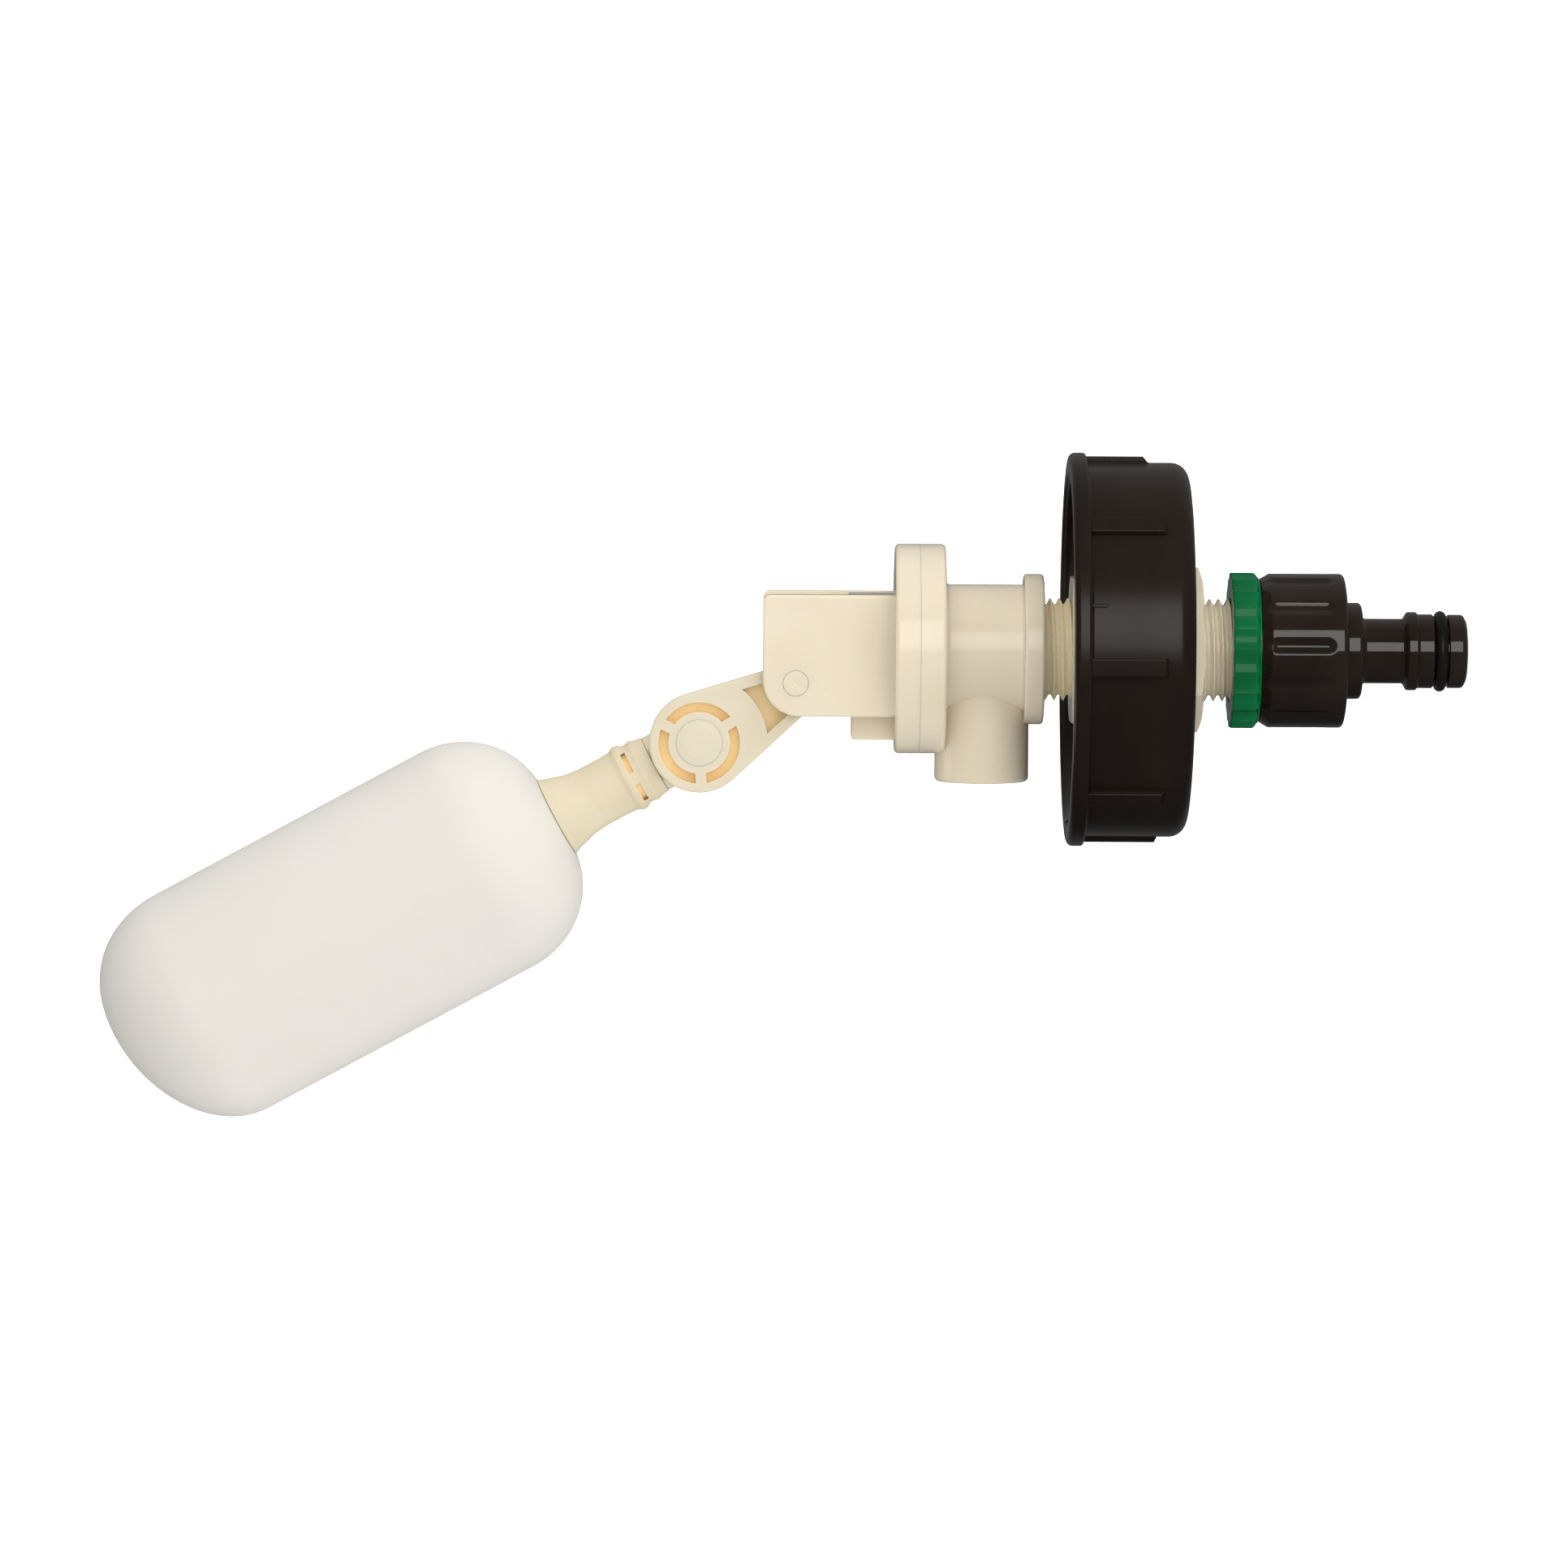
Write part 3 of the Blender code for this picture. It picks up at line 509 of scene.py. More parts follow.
# every piece's sizes are in millimetres, along and round the shank's X axis unless its code says otherwise
valveSizes = {
    "ring": 21.5, "ringBack": -25.0, "parting": -30.29, "barrel": 13.25, "collar": 15.45, "collarFront": -4.9,
    "collarBack": -9.0, "threadCrest": 10.48, "threadRoot": 9.32, "pitch": 1.814, "shankEnd": 43.0,
    "paintedLightEnd": 12.0, "bore": 5.5, "seat": 7.5, "seatLip": -29.2, "chamber": 11.3, "chamberEnd": -12.0,
    "recess": 18.5, "recessFloor": -28.4, "spoutAxis": -17.4, "spout": 9.65, "spoutBore": 7.2,
    "spoutEnd": -27.2}


def makeValveBody():
    # ring half, barrel, collar, threaded shank and spout
    size = valveSizes
    root, end, barrel = size["threadRoot"], size["shankEnd"], size["barrel"]
    front, back, ringBack = size["collarFront"], size["collarBack"], size["ringBack"]
    outside = [(0, end), (root - 0.3, end, 0), (root, end - 0.5, 0.2), (root, front, 0.25),
               (size["collar"], front, 0.7), (size["collar"], back, 0.6), (barrel, back, 0.5),
               (barrel, ringBack + 0.6, 0.7), (barrel + 0.9, ringBack, 0.4), (size["ring"], ringBack, 0.9),
               (size["ring"], size["parting"], 0), (0, size["parting"])]
    body = turned("valveBody", outside, segments=160, closed=False)
    atSpout = Matrix.Translation((size["spoutAxis"], 0, 0))
    spout, spoutEnd = size["spout"], size["spoutEnd"]
    weldOn(body, turned("spoutForm", [(0, -3.0), (spout, -3.0, 0), (spout, spoutEnd, 1.0), (0, spoutEnd)],
                        atSpout, 112, False))
    bore, seat, chamber, recess = size["bore"], size["seat"], size["chamber"], size["recess"]
    lip, floor, chamberEnd = size["seatLip"], size["recessFloor"], size["chamberEnd"]
    wayIn = [(0, end + 1), (bore + 0.6, end + 1, 0), (bore + 0.6, end, 0), (bore, end - 0.8, 0.3),
             (bore, lip, 0.1), (6.6, lip, 0.2), (seat, floor, 0.2), (seat, chamberEnd, 0.5),
             (chamber, chamberEnd, 1.0), (chamber, -27.0, 0.3), (12.0, floor, 0.2), (recess, floor, 0.3),
             (recess, -31.0, 0), (0, -31.0)]
    outlet = size["spoutBore"]
    wayOut = [(0, -8.6), (outlet, -8.6, 0.3), (outlet, spoutEnd + 0.5, 0.2), (outlet + 0.5, spoutEnd, 0),
              (outlet + 0.5, spoutEnd - 1, 0), (0, spoutEnd - 1)]
    cutAway(body, turned("wayIn", wayIn, segments=96, closed=False),
            turned("wayOut", wayOut, atSpout, 96, False))
    weldOn(body, woundThread("shankThread", outerThread, creamBody, front + 0.5, end - 0.4, size["pitch"],
                             root, size["threadCrest"]))
    place(body, creamBody, "valve", "cream_plastic", "valve_body")
    # the thread from the collar inward takes the lighter painted-light copy of the plastic
    body.data.materials.append(paintedLightThread)
    for polygon in body.data.polygons:
        x, y, z = polygon.center / mm
        onThread = 9 < math.hypot(y, z) < size["threadCrest"] + 0.1
        if onThread and front + 0.05 < x < size["paintedLightEnd"]:
            polygon.material_index = 1


print("valve body")
makeValveBody()


coverSizes = {
    "cheekEnd": -62.3, "low": -13.4, "high": 11.4, "outside": 12.5, "inside": 9.5, "face": -35.4,
    "parting": -30.31, "ring": 21.5, "recess": 18.5, "hub": 9.0, "hubEnd": -38.4, "nozzle": 3.0,
    "nozzleEnd": -50.7, "nozzleBore": 0.9, "holeRadius": 2.64, "cove": 1.5, "lugEnd": -44.2, "lugLow": -18.5}


def makeFrontCover():
    # ring half, two cheeks with coves at their roots, webs, lug and the pilot nozzle
    size = coverSizes
    face, parting, low, high = size["face"], size["parting"], size["low"], size["high"]
    hub, hubEnd, nozzle, tip = size["hub"], size["hubEnd"], size["nozzle"], size["nozzleEnd"]
    profile = [(size["recess"], parting, 0), (size["ring"], parting, 0), (size["ring"], face, 0.9),
               (hub, face, 0.3), (hub, hubEnd, 0.5), (nozzle, hubEnd, 0.3), (nozzle, -44.0, 0.4),
               (1.7, tip, 0.3), (size["nozzleBore"], tip, 0.15), (size["nozzleBore"], -35.0, 0),
               (8.0, -35.0, 0), (8.0, -33.4, 0), (14.5, -33.4, 0), (14.5, -32.2, 0),
               (size["recess"], -32.2, 0)]
    cover = turned("frontCover", profile, segments=160)
    outline = arcPoints((size["cheekEnd"] + 1.5, high - 1.5), 1.5, 90, 180, 8)
    outline += arcPoints((size["cheekEnd"] + 7.5, low + 7.5), 7.5, 180, 270, 24)
    outline += [(face + 0.5, low), (face + 0.5, high)]
    inside = size["inside"] + 0.6
    root = face + 0.6
    parts = [slab("nearCheek", outline, -size["outside"], -size["inside"], 0.55),
             slab("farCheek", outline, size["inside"], size["outside"], 0.55),
             block("roofWeb", (-45.0, -inside, high - 2.8), (root, inside, high - 0.2), 0.3),
             block("floorWeb", (-44.5, -inside, low + 0.2), (root, inside, low + 2.6), 0.3),
             block("stopWeb", (-48.5, -inside, -5.6), (root, inside, -4.0), 0.3),
             block("lug", (size["lugEnd"], -6.0, size["lugLow"]), (root + 0.1, 6.0, low + 1.0), 0.55)]
    for side in (-1, 1):
        corner = (face - size["cove"], size["outside"] + size["cove"])
        cove = [(root, size["outside"] - 0.4), (corner[0] - 0.02, size["outside"] - 0.4)]
        cove += arcPoints(corner, size["cove"], -90, 0, 8)
        cove += [(root, corner[1])]
        turn = Matrix.Rotation(math.radians(90), 4, "X") @ Matrix.Diagonal((1, 1, side, 1))
        parts.append(slab("cove", cove, low + 0.5, high - 0.5, 0, turn))
    weldOn(cover, *parts)
    cutAway(cover, rodPiece("pivotHoles", size["holeRadius"], -14, 14, atPivot, 48))
    place(cover, creamBody, "valve", "cream_plastic", "front_cover")


print("front cover")
makeFrontCover()


pinSizes = {"radius": 2.61, "near": 12.45, "far": -12.4, "dimple": 0.12}


def makePivotPin():
    # flush with the near cheek, with a moulded dimple
    size = pinSizes
    near, far, dimple = size["near"], size["far"], size["near"] - size["dimple"]
    profile = [(0, dimple), (0.35, dimple + 0.03, 0.2), (0.7, near, 0.3), (size["radius"], near, 0.16),
               (size["radius"], far, 0.3), (0, far)]
    pin = turned("pivotPin", profile, atPivot, 64, False)
    place(pin, creamBody, "valve", "pin_plastic", "pivot_pin")


print("pivot pin")
makePivotPin()


leverSizes = {
    "disc": 10.25, "end": (-55.1, -7.5), "endRadius": 5.1, "front": -9.2, "back": -5.3, "slotInner": 6.3,
    "slotOuter": 8.3, "slotFloor": -7.2, "pocketFloor": -6.9, "spokes": (33.0, 153.0, 273.0),
    "finger": (-1.2, 2.2, 10.6), "fingerHalf": 3.6, "heelLow": -9.1, "heelHigh": -5.9, "boltHead": 4.75,
    "boltHole": 3.1, "pinHole": 2.85, "pad": 6.6, "padRadius": 2.9, "padStem": 1.3}


def closedFrame(x, z):
    # a place near the pivot, given with the lever closed, turned back to the rest pose
    angle = math.radians(swingRange)
    return (pivotPlace.x + x * math.cos(angle) - z * math.sin(angle),
            pivotPlace.z + x * math.sin(angle) + z * math.cos(angle))


def taperedOutline(inset, count=72):
    # two circles of different sizes with straight sides between them
    size = leverSizes
    large = Vector((jointPlace.x, jointPlace.z))
    small = Vector(size["end"])
    along = small - large
    heading = math.degrees(math.atan2(along.y, along.x))
    lean = math.degrees(math.acos((size["disc"] - size["endRadius"]) / along.length))
    outline = arcPoints(large, size["disc"] - inset, heading + lean, heading + 360 - lean, count)
    return outline + arcPoints(small, size["endRadius"] - inset, heading - lean, heading + lean, count // 3)


def makeSlots():
    # the ring of slots in the disc, left whole at the spokes
    size = leverSizes
    inner, outer, low = size["slotInner"], size["slotOuter"], -size["slotFloor"]
    slots = turned("slots", [(inner, low, 0), (outer, low, 0), (outer, 11.0, 0), (inner, 11.0, 0)],
                   toFront, 144)
    for angle in size["spokes"]:
        turn = Matrix.Translation(jointPlace) @ Matrix.Rotation(-math.radians(angle), 4, "Y")
        cutAway(slots, block("spoke", (2, -12, -1.1), (12, -6, 1.1), 0, turn))
    return slots


def makeLever():
    # tapered plate, hub, finger with its pad, and stop heel
    size = leverSizes
    front, half = size["front"], size["fingerHalf"]
    lever = slab("leverArm", taperedOutline(0), front, size["back"], 0.55)
    hub = slab("hub", arcPoints(size["end"], size["endRadius"], 0, 354, 59), front + 0.2, -front, 0.3)
    left, right, top = size["finger"]
    corners = ((left, 2), (right, 2), (right, top), (left, top))
    finger = slab("finger", [closedFrame(x, z) for x, z in corners], -half, half, 0.35)
    heel = block("heel", (pivotPlace.x + 3.5, -3.9, size["heelLow"]), (-46.5, 3.9, size["heelHigh"]), 0.3)
    weldOn(lever, hub, finger, heel)

    pocket = slab("pocket", taperedOutline(2.3), -11.0, size["pocketFloor"])
    cutAway(pocket, rodPiece("discKeep", 14.0, 5, 12, toFront, 144), rodPiece("hubKeep", 4.4, 5, 12, atPivot))
    x, z = closedFrame(0, size["pad"])
    padAxis = Matrix.Translation((x, 0, z)) @ Matrix.Rotation(math.radians(90 - swingRange), 4, "Y")
    head, hole = size["boltHead"], size["boltHole"]
    boltHole = turned("boltHole", [(0, 11.0), (head, 11.0, 0), (head, 7.2, 0), (hole, 7.2, 0), (hole, 4.0, 0),
                                   (0, 4.0)], toFront, 96, False)
    cutAway(lever, makeSlots(), pocket, rodPiece("stemDip", 1.6, -0.1, 3.0, padAxis), boltHole,
            rodPiece("pinHole", size["pinHole"], -14, 14, atPivot))
    place(lever, creamLever, "lever", "lever_plastic", "lever_arm")
    # the slot floors and walls and the pocket floors take the yellow painted glow
    lever.data.materials.append(paintedGlowRecess)
    for polygon in lever.data.polygons:
        spot = polygon.center / mm
        reach = (Vector((spot.x, spot.z)) - Vector((jointPlace.x, jointPlace.z))).length
        inSlot = size["slotInner"] - 0.1 < reach < size["slotOuter"] + 0.1
        inPocket = reach > 13.9 and abs(spot.y - size["pocketFloor"]) < 0.05
        if inPocket or (inSlot and front + 0.15 < spot.y < size["slotFloor"] + 0.05):
            polygon.material_index = 1
    wide, thin = size["padRadius"], size["padStem"]
    profile = [(0, 4.6), (wide, 4.6, 0.4), (wide, 2.5, 0.2), (thin, 2.5, 0.1), (thin, 0.3, 0.1), (0, 0.3)]
    pad = turned("pilotPad", profile, padAxis, 64, False)
    place(pad, blackRubber, "lever", "black_rubber", "pilot_pad")


print("lever")
makeLever()


boltSizes = {
    "head": 4.725, "headFace": 9.46, "headBase": 7.5, "shaft": 2.8, "shaftEnd": -8.8, "nutFlats": 9.0,
    "nutEnds": (5.4, 8.3), "nutHole": 3.1}


def makeJointHardware():
    # the bolt through the knuckle, with a faint ring and a gate mark, and its nut
    size = boltSizes
    head, face, base, shaft = size["head"], size["headFace"], size["headBase"], size["shaft"]
    profile = [(0, face - 0.1), (0.35, face - 0.08, 0.2), (0.7, face, 0.3), (3.2, face, 0.6),
               (3.6, face - 0.08, 0.6), (head, face - 0.2, 0.12), (head, base, 0), (shaft, base, 0),
               (shaft, size["shaftEnd"], 0.3), (0, size["shaftEnd"])]
    bolt = turned("jointBolt", profile, toFront, 96, False)
    place(bolt, creamLever, "lever", "joint_plastic", "joint_bolt")
    corner = size["nutFlats"] / math.sqrt(3)
    near, far = size["nutEnds"]
    nut = slab("jointNut", arcPoints((jointPlace.x, jointPlace.z), corner, 0, 300, 5), near, far, 0.3)
    cutAway(nut, rodPiece("nutHole", size["nutHole"], -12, 0, toFront))
    place(nut, creamLever, "lever", "joint_nut_plastic", "joint_nut")


print("joint bolt and nut")
makeJointHardware()


knuckleSizes = {
    "radius": 9.6, "half": 5.0, "shoulder": 6.05, "shoulderEnd": 10.38, "shoulderHalf": 4.9, "stub": 4.6,
    "stubEnd": 26.8, "hole": 3.1}


def makeKnuckle():
    # a disc between the lever and its nut, with a flat-sided shoulder and a stub for the stem
    size = knuckleSizes
    radius, half, wide, end = size["radius"], size["half"], size["shoulder"], size["shoulderEnd"]
    knuckle = turned("armKnuckle", [(0, half), (radius, half, 0.6), (radius, -half, 0.6), (0, -half)],
                     toFront, 112, False)
    toArm = Matrix.Translation(jointPlace) @ Matrix.Rotation(math.radians(180 - armDrop), 4, "Y")
    profile = [(0, 2.0), (wide, 2.0, 0), (wide, end, 0.25), (0, end)]
    shoulder = turned("shoulder", profile, alongArm, 96, False)
    flats = size["shoulderHalf"]
    sides = block("shoulderSides", (1.0, -flats, -7.0), (12.0, flats, 7.0), 0, toArm)
    joinOrCut(shoulder, sides, "INTERSECT")
    weldOn(knuckle, shoulder, rodPiece("stub", size["stub"], 8.0, size["stubEnd"], alongArm))
    cutAway(knuckle, rodPiece("knuckleHole", size["hole"], -12, 12, toFront))
    place(knuckle, warmStem, "float_arm", "knuckle_plastic", "arm_knuckle")


stemSizes = {
    "start": 10.42, "waist": 6.5, "bead": 6.85, "band": 7.2, "flare": 8.6, "flareEnd": 33.25, "plug": 3.2,
    "plugEnd": 41.0, "socket": 4.9, "socketEnd": 27.3, "windows": ((1.0, 5.2), (-5.4, -1.6)),
    "windowLow": 14.7, "windowHigh": 15.7, "windowDepth": 5.75}


def makeStem():
    # stations are measured from the joint's axis along the arm
    size = stemSizes
    start, waist, band, flareEnd = size["start"], size["waist"], size["band"], size["flareEnd"]
    profile = [(0, size["plugEnd"]), (size["plug"], size["plugEnd"], 0.3), (size["plug"], flareEnd, 0),
               (size["flare"], flareEnd, 0.1), (8.0, 32.0, 1.0), (7.45, 30.0, 3.0), (6.85, 28.0, 3.0),
               (waist, 25.0, 4.0), (waist, 20.0, 4.0), (6.62, 17.9, 1.0), (band, 16.9, 0.5),
               (band, 15.9, 0.5), (waist, 14.8, 0.7), (6.55, 13.9, 0.5), (size["bead"], 13.1, 0.5),
               (6.45, 12.3, 0.6), (6.15, start, 0.2), (size["socket"], start, 0),
               (size["socket"], size["socketEnd"], 0), (0, size["socketEnd"])]
    stem = turned("floatStem", profile, alongArm, 96, False)
    bottom, top = size["windowLow"], size["windowHigh"]
    for low, high in size["windows"]:
        window = block("window", (low, -9, bottom), (high, -1, top), 0, alongArm)
        cutAway(window, rodPiece("windowFloor", size["windowDepth"], 14, 17, alongArm, 96))
        cutAway(stem, window)
    place(stem, warmStem, "float_arm", "stem_plastic", "float_stem")
    # the window walls and floors take the same yellow painted glow
    stem.data.materials.append(paintedGlowRecess)
    inward = alongArm.inverted()
    for polygon in stem.data.polygons:
        spot = inward @ (polygon.center / mm)
        if bottom - 0.05 < spot.z < top + 0.05 and spot.y < -1.5 and spot.xy.length < 6.4:
            polygon.material_index = 1


floatSizes = {
    "start": 33.3, "end": 134.7, "radius": 24.9, "wall": 1.3, "farReach": 20.7, "farFlat": 1.1,
    "nearReach": 18.7, "nearFlat": 7.07, "farLean": 3.0, "socket": 3.5, "sleeve": 5.6, "socketEnd": 42.0}


def floatEnd(end, reach, flat, inset, angles, count=28):
    # the rounded end of the float: an elliptical quarter round a small flat
    start, stop = (math.radians(angle) for angle in angles)
    turns = [start + (stop - start) * i / count for i in range(count + 1)]
    rise = floatSizes["radius"] - flat - inset
    depth = reach - math.copysign(inset, reach)
    return [(flat + rise * math.sin(a), end - reach + depth * abs(math.cos(a))) for a in turns]


def makeFloat():
    # a thin hollow shell, its far end leaning a little to one side
    size = floatSizes
    start, end, wall = size["start"], size["end"], size["wall"]
    far = (end, size["farReach"], size["farFlat"])
    near = (start, -size["nearReach"], size["nearFlat"])
    profile = [(0, end)] + floatEnd(*far, 0, (0, 90)) + floatEnd(*near, 0, (90, 180))
    profile += [(size["socket"], start), (size["socket"], size["socketEnd"]),
                (size["sleeve"], size["socketEnd"]), (size["sleeve"], start + wall)]
    profile += floatEnd(*near, wall, (180, 90)) + floatEnd(*far, wall, (90, 0)) + [(0, end - wall)]
    shell = turned("floatShell", profile, Matrix.Identity(4), 144, False)
    bend = end - size["farReach"]
    for vert in shell.data.vertices:
        spot = vert.co / mm
        if spot.z > bend:
            lean = size["farLean"] * (1 - (spot.xy.length / size["radius"]) ** 2)
            spot.x += max(lean, 0)
        vert.co = (alongArm @ spot) * mm
    place(shell, milkyFloat, "float_arm", "float_plastic", "float_shell")


print("knuckle, stem and float")
makeKnuckle()
makeStem()
makeFloat()


capSizes = {
    "wall": 38.35, "end": 24.5, "shell": 3.2, "rim": 40.35, "rimLength": 3.5, "hole": 10.78, "corner": 3.5,
    "root": 35.3, "crest": 33.8, "pitch": 5.0, "threadEnds": (2.2, 17.4), "ribs": 8, "firstRib": 47.5,
    "ribTop": 39.6, "ribEnd": 19.0, "ribHalf": 1.9, "shortRib": 37.1, "tick": 74, "tickEnd": 6.6}


def makeCap():
    # the drum cap with its grip ribs and wound inner thread
    size = capSizes
    wall, end, root, rim, rimLength = (size[key] for key in ("wall", "end", "root", "rim", "rimLength"))
    inside = end - size["shell"]
    profile = [(size["hole"], end, 0.2), (wall, end, size["corner"]), (wall, rimLength, 0.5),
               (rim, rimLength, 0.7), (rim, 0, 1.3), (36.4, 0, 0.5), (36.2, 0.5, 0.3), (root, 0.6, 0.4),
               (root, inside, 1.5), (size["hole"], inside, 0.2)]
    cap = turned("drumCap", profile, segments=220)
    low = wall - 0.9
    top, half = size["ribTop"], size["ribHalf"]
    side = [(rimLength - 1, low), (size["ribEnd"] + 0.3, low), (size["ribEnd"] - 0.8, top),
            (rimLength - 1, top)]
    rib = slab("gripRibs", side, -half, half, 0.35)
    ribs = grow(rib, ringOfCopies, {"Count": size["ribs"], "First Angle": math.radians(size["firstRib"]),
                                    "Material": blackCap})
    # the top rib's end is trimmed
    toTop = Matrix.Rotation(math.radians(size["firstRib"] - 45), 4, "X")
    toTop = toTop @ Matrix.Rotation(math.radians(-40), 4, "Y")
    cutAway(ribs, block("topEnd", (size["shortRib"], -4, 5), (60, 4, 35), 0, toTop))
    tick = block("mouldTick", (rimLength - 0.5, -0.35, low), (size["tickEnd"], 0.35, wall + 0.35), 0.15,
                 Matrix.Rotation(math.radians(size["tick"]), 4, "X"))
    thread = woundThread("capThread", innerThread, blackCap, *size["threadEnds"], size["pitch"], root,
                         size["crest"])
    weldOn(cap, ribs, tick, thread)
    place(cap, blackCap, "valve", "cap_plastic", "cap")


print("drum cap")
makeCap()


nutSizes = {
    "hole": 10.2, "edge": 0.18, "innerFlats": 29.5, "innerEnds": (0.7, 18.7), "outerFlats": 29.4,
    "outerEnds": (24.8, 27.5)}


def hexNut(name, flats, ends, cornerUp, chamfer):
    # a hexagonal block inside a turned form that rounds its corners, with a hole
    low, high = ends
    corner = flats / math.sqrt(3)
    first = 90 if cornerUp else 60
    toSide = Matrix.Rotation(math.radians(90), 4, "Z")
    nut = slab(name, arcPoints((0, 0), corner, first, first + 300, 5), -high, -low, 0, toSide)
    reach = flats / 2 + 0.1
    drop = (corner - reach) * 0.38
    form = turned("nutForm", [(0, low - 1), (reach, low - 0.01, 0), (corner + 0.4, low + chamfer * drop, 0.2),
                              (corner + 0.4, high - drop, 0.2), (reach, high + 0.01, 0), (0, high + 1)],
                  segments=144, closed=False)
    joinOrCut(nut, form, "INTERSECT")
    cutAway(nut, rodPiece("nutHole", nutSizes["hole"], low - 2, high + 2, alongX, 96))
    breakEdges(nut, nutSizes["edge"])
    return place(nut, creamBody, "valve", "cream_plastic")


def makeNuts():
    size = nutSizes
    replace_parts(hexNut("innerNut", size["innerFlats"], size["innerEnds"], False, 0.4), "inner_nut")
    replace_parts(hexNut("outerNut", size["outerFlats"], size["outerEnds"], True, 0.0), "outer_nut")


sealSizes = {                                    # inner radius, outer radius, first and last station
    "inner_washer": (10.9, 16.5, 19.0, 21.0, blackRubber, "black_rubber"),
    "cap_gasket": (22.0, 33.0, 19.2, 21.0, blackRubber, "black_rubber"),
    "reducer_washer": (7.2, 10.3, 43.3, 45.0, greyRubber, "grey_rubber"),
    "connector_washer": (6.0, 12.8, 49.3, 51.2, greyRubber, "grey_rubber")}
spigotRingSizes = {"radius": 7.1, "section": 1.2, "station": 76.4}


def makeSeals():
    for node, (inner, outer, low, high, material, slotName) in sealSizes.items():
        ring = turned(node.replace("_", " ").title().replace(" ", ""),
                      [(inner, low, 0.3), (outer, low, 0.3), (outer, high, 0.3), (inner, high, 0.3)])
        place(ring, material, "valve", slotName, node)
    size = spigotRingSizes
    circle = arcPoints((size["radius"], size["station"]), size["section"], 0, 345, 23)
    place(turned("spigotRing", circle), blackRubber, "valve", "black_rubber", "spigot_o_ring")


print("lock nuts and seals")
makeNuts()
makeSeals()


def stations(radius, low, high, step):
    # extra points along a straight side, so that flutes can be pressed into it
    count = max(1, round(abs(high - low) / step))
    return [(radius, low + (high - low) * i / count) for i in range(1, count)]


reducerSizes = {
    "count": 22, "first": 10.8, "depth": 0.8, "radius": 16.15, "front": 33.3, "back": 38.0, "hub": 15.0,
    "thread": 13.2, "end": 49.0, "mouth": 10.78, "bore": 7.0}


def makeReducer():
    # the green reducer with its scalloped flange
    size = reducerSizes
    radius, front, back, end = size["radius"], size["front"], size["back"], size["end"]
    profile = [(size["bore"], end, 0), (12.5, end, 0), (size["thread"], 48.3, 0.2), (size["thread"], 39.0, 0),
               (size["hub"], 39.0, 0), (size["hub"], 38.7, 0), (15.5, 38.7, 0.2), (radius, back, 0.5)]
    profile += stations(radius, back - 0.3, front + 0.5, 0.5)
    profile += [(radius, front, 0.35), (size["mouth"], front, 0.3), (size["mouth"], 45.3, 0),
                (size["bore"], 45.3, 0)]
    reducer = turned("reducer", profile, segments=240)
    grow(reducer, pressedFlutes, {
        "Count": size["count"], "First Angle": math.radians(size["first"]), "Depth": size["depth"] * mm,
        "Half Width": math.pi * radius / size["count"] * mm, "Roundness": 2.0, "Start": 30 * mm,
        "End": 45 * mm, "Inside Radius": 15.2 * mm, "Material": greenRing})
    place(reducer, greenRing, "valve", "green_plastic", "reducer")


connectorSizes = {
    "count": 12, "first": 6.4, "depth": 0.66, "halfWidth": 1.75, "start": 42.2, "end": 52.4, "radius": 15.8,
    "neck": 9.9, "spigot": 6.65, "barb": 7.6, "tip": 7.55, "groove": 5.6, "bore": 3.6, "tipEnd": 81.7,
    "mouth": 13.5}


def makeConnector():
    # the black tap connector: fluted collar, neck, and spigot with a groove for its ring
    size = connectorSizes
    radius, neck, spigot, barb = size["radius"], size["neck"], size["spigot"], size["barb"]
    tip, groove, bore, tipEnd, mouth = (size[key] for key in ("tip", "groove", "bore", "tipEnd", "mouth"))
    profile = [(bore, tipEnd, 0.3), (6.2, tipEnd, 0.4), (tip, 81.0, 0.9), (tip, 77.9, 0.2),
               (groove, 77.9, 0), (groove, 74.9, 0), (barb, 74.9, 0.3), (barb, 71.8, 0.2), (8.05, 71.4, 0.4),
               (8.05, 69.5, 0.5), (spigot, 68.7, 0.5), (spigot, 60.9, 0.4), (7.3, 60.2, 0.3),
               (neck, 60.2, 0.9), (neck, 56.9, 0.3), (14.2, 56.7, 0.3), (radius, 56.4, 1.5)]
    profile += stations(radius, 54.9, 41.3, 0.3)
    profile += [(radius, 41.2, 0.8), (14.7, 39.3, 0.4), (mouth, 39.3, 0), (mouth, 51.5, 0), (bore, 51.5, 0)]
    connector = turned("tapConnector", profile, segments=360)
    grow(connector, pressedFlutes, {
        "Count": size["count"], "First Angle": math.radians(size["first"]), "Depth": size["depth"] * mm,
        "Half Width": size["halfWidth"] * mm, "Roundness": 1.3, "Start": size["start"] * mm,
        "End": size["end"] * mm, "Inside Radius": 13.9 * mm, "Material": blackConnector})
    place(connector, blackConnector, "valve", "connector_plastic", "tap_connector")


print("reducer and connector")
makeReducer()
makeConnector()


def sectorOf(piece, first, step):
    # the faces of a turned piece between two angles round the X axis
    shape = bmesh.new()
    shape.from_mesh(piece.data)
    away = []
    for face in shape.faces:
        middle = face.calc_center_median()
        if (math.degrees(math.atan2(middle.z, -middle.y)) - first) % 360 >= step:
            away.append(face)
    bmesh.ops.delete(shape, geom=away, context="FACES")
    sector = bpy.data.objects.new(piece.name + "Sector", piece.data.copy())
    bpy.context.scene.collection.objects.link(sector)
    shape.to_mesh(sector.data)
    shape.free()
    return sector


diaphragmSizes = {
    "sectors": 12, "held": 14.4, "carried": 9.8, "hole": 1.8, "rim": 18.2, "bleedDrop": 3.8, "bleedHole": 1.2,
    "bleedPin": 0.4}
insertSizes = {"flange": 6.5, "button": 2.5, "shaft": 1.5, "bleedHole": 0.8}


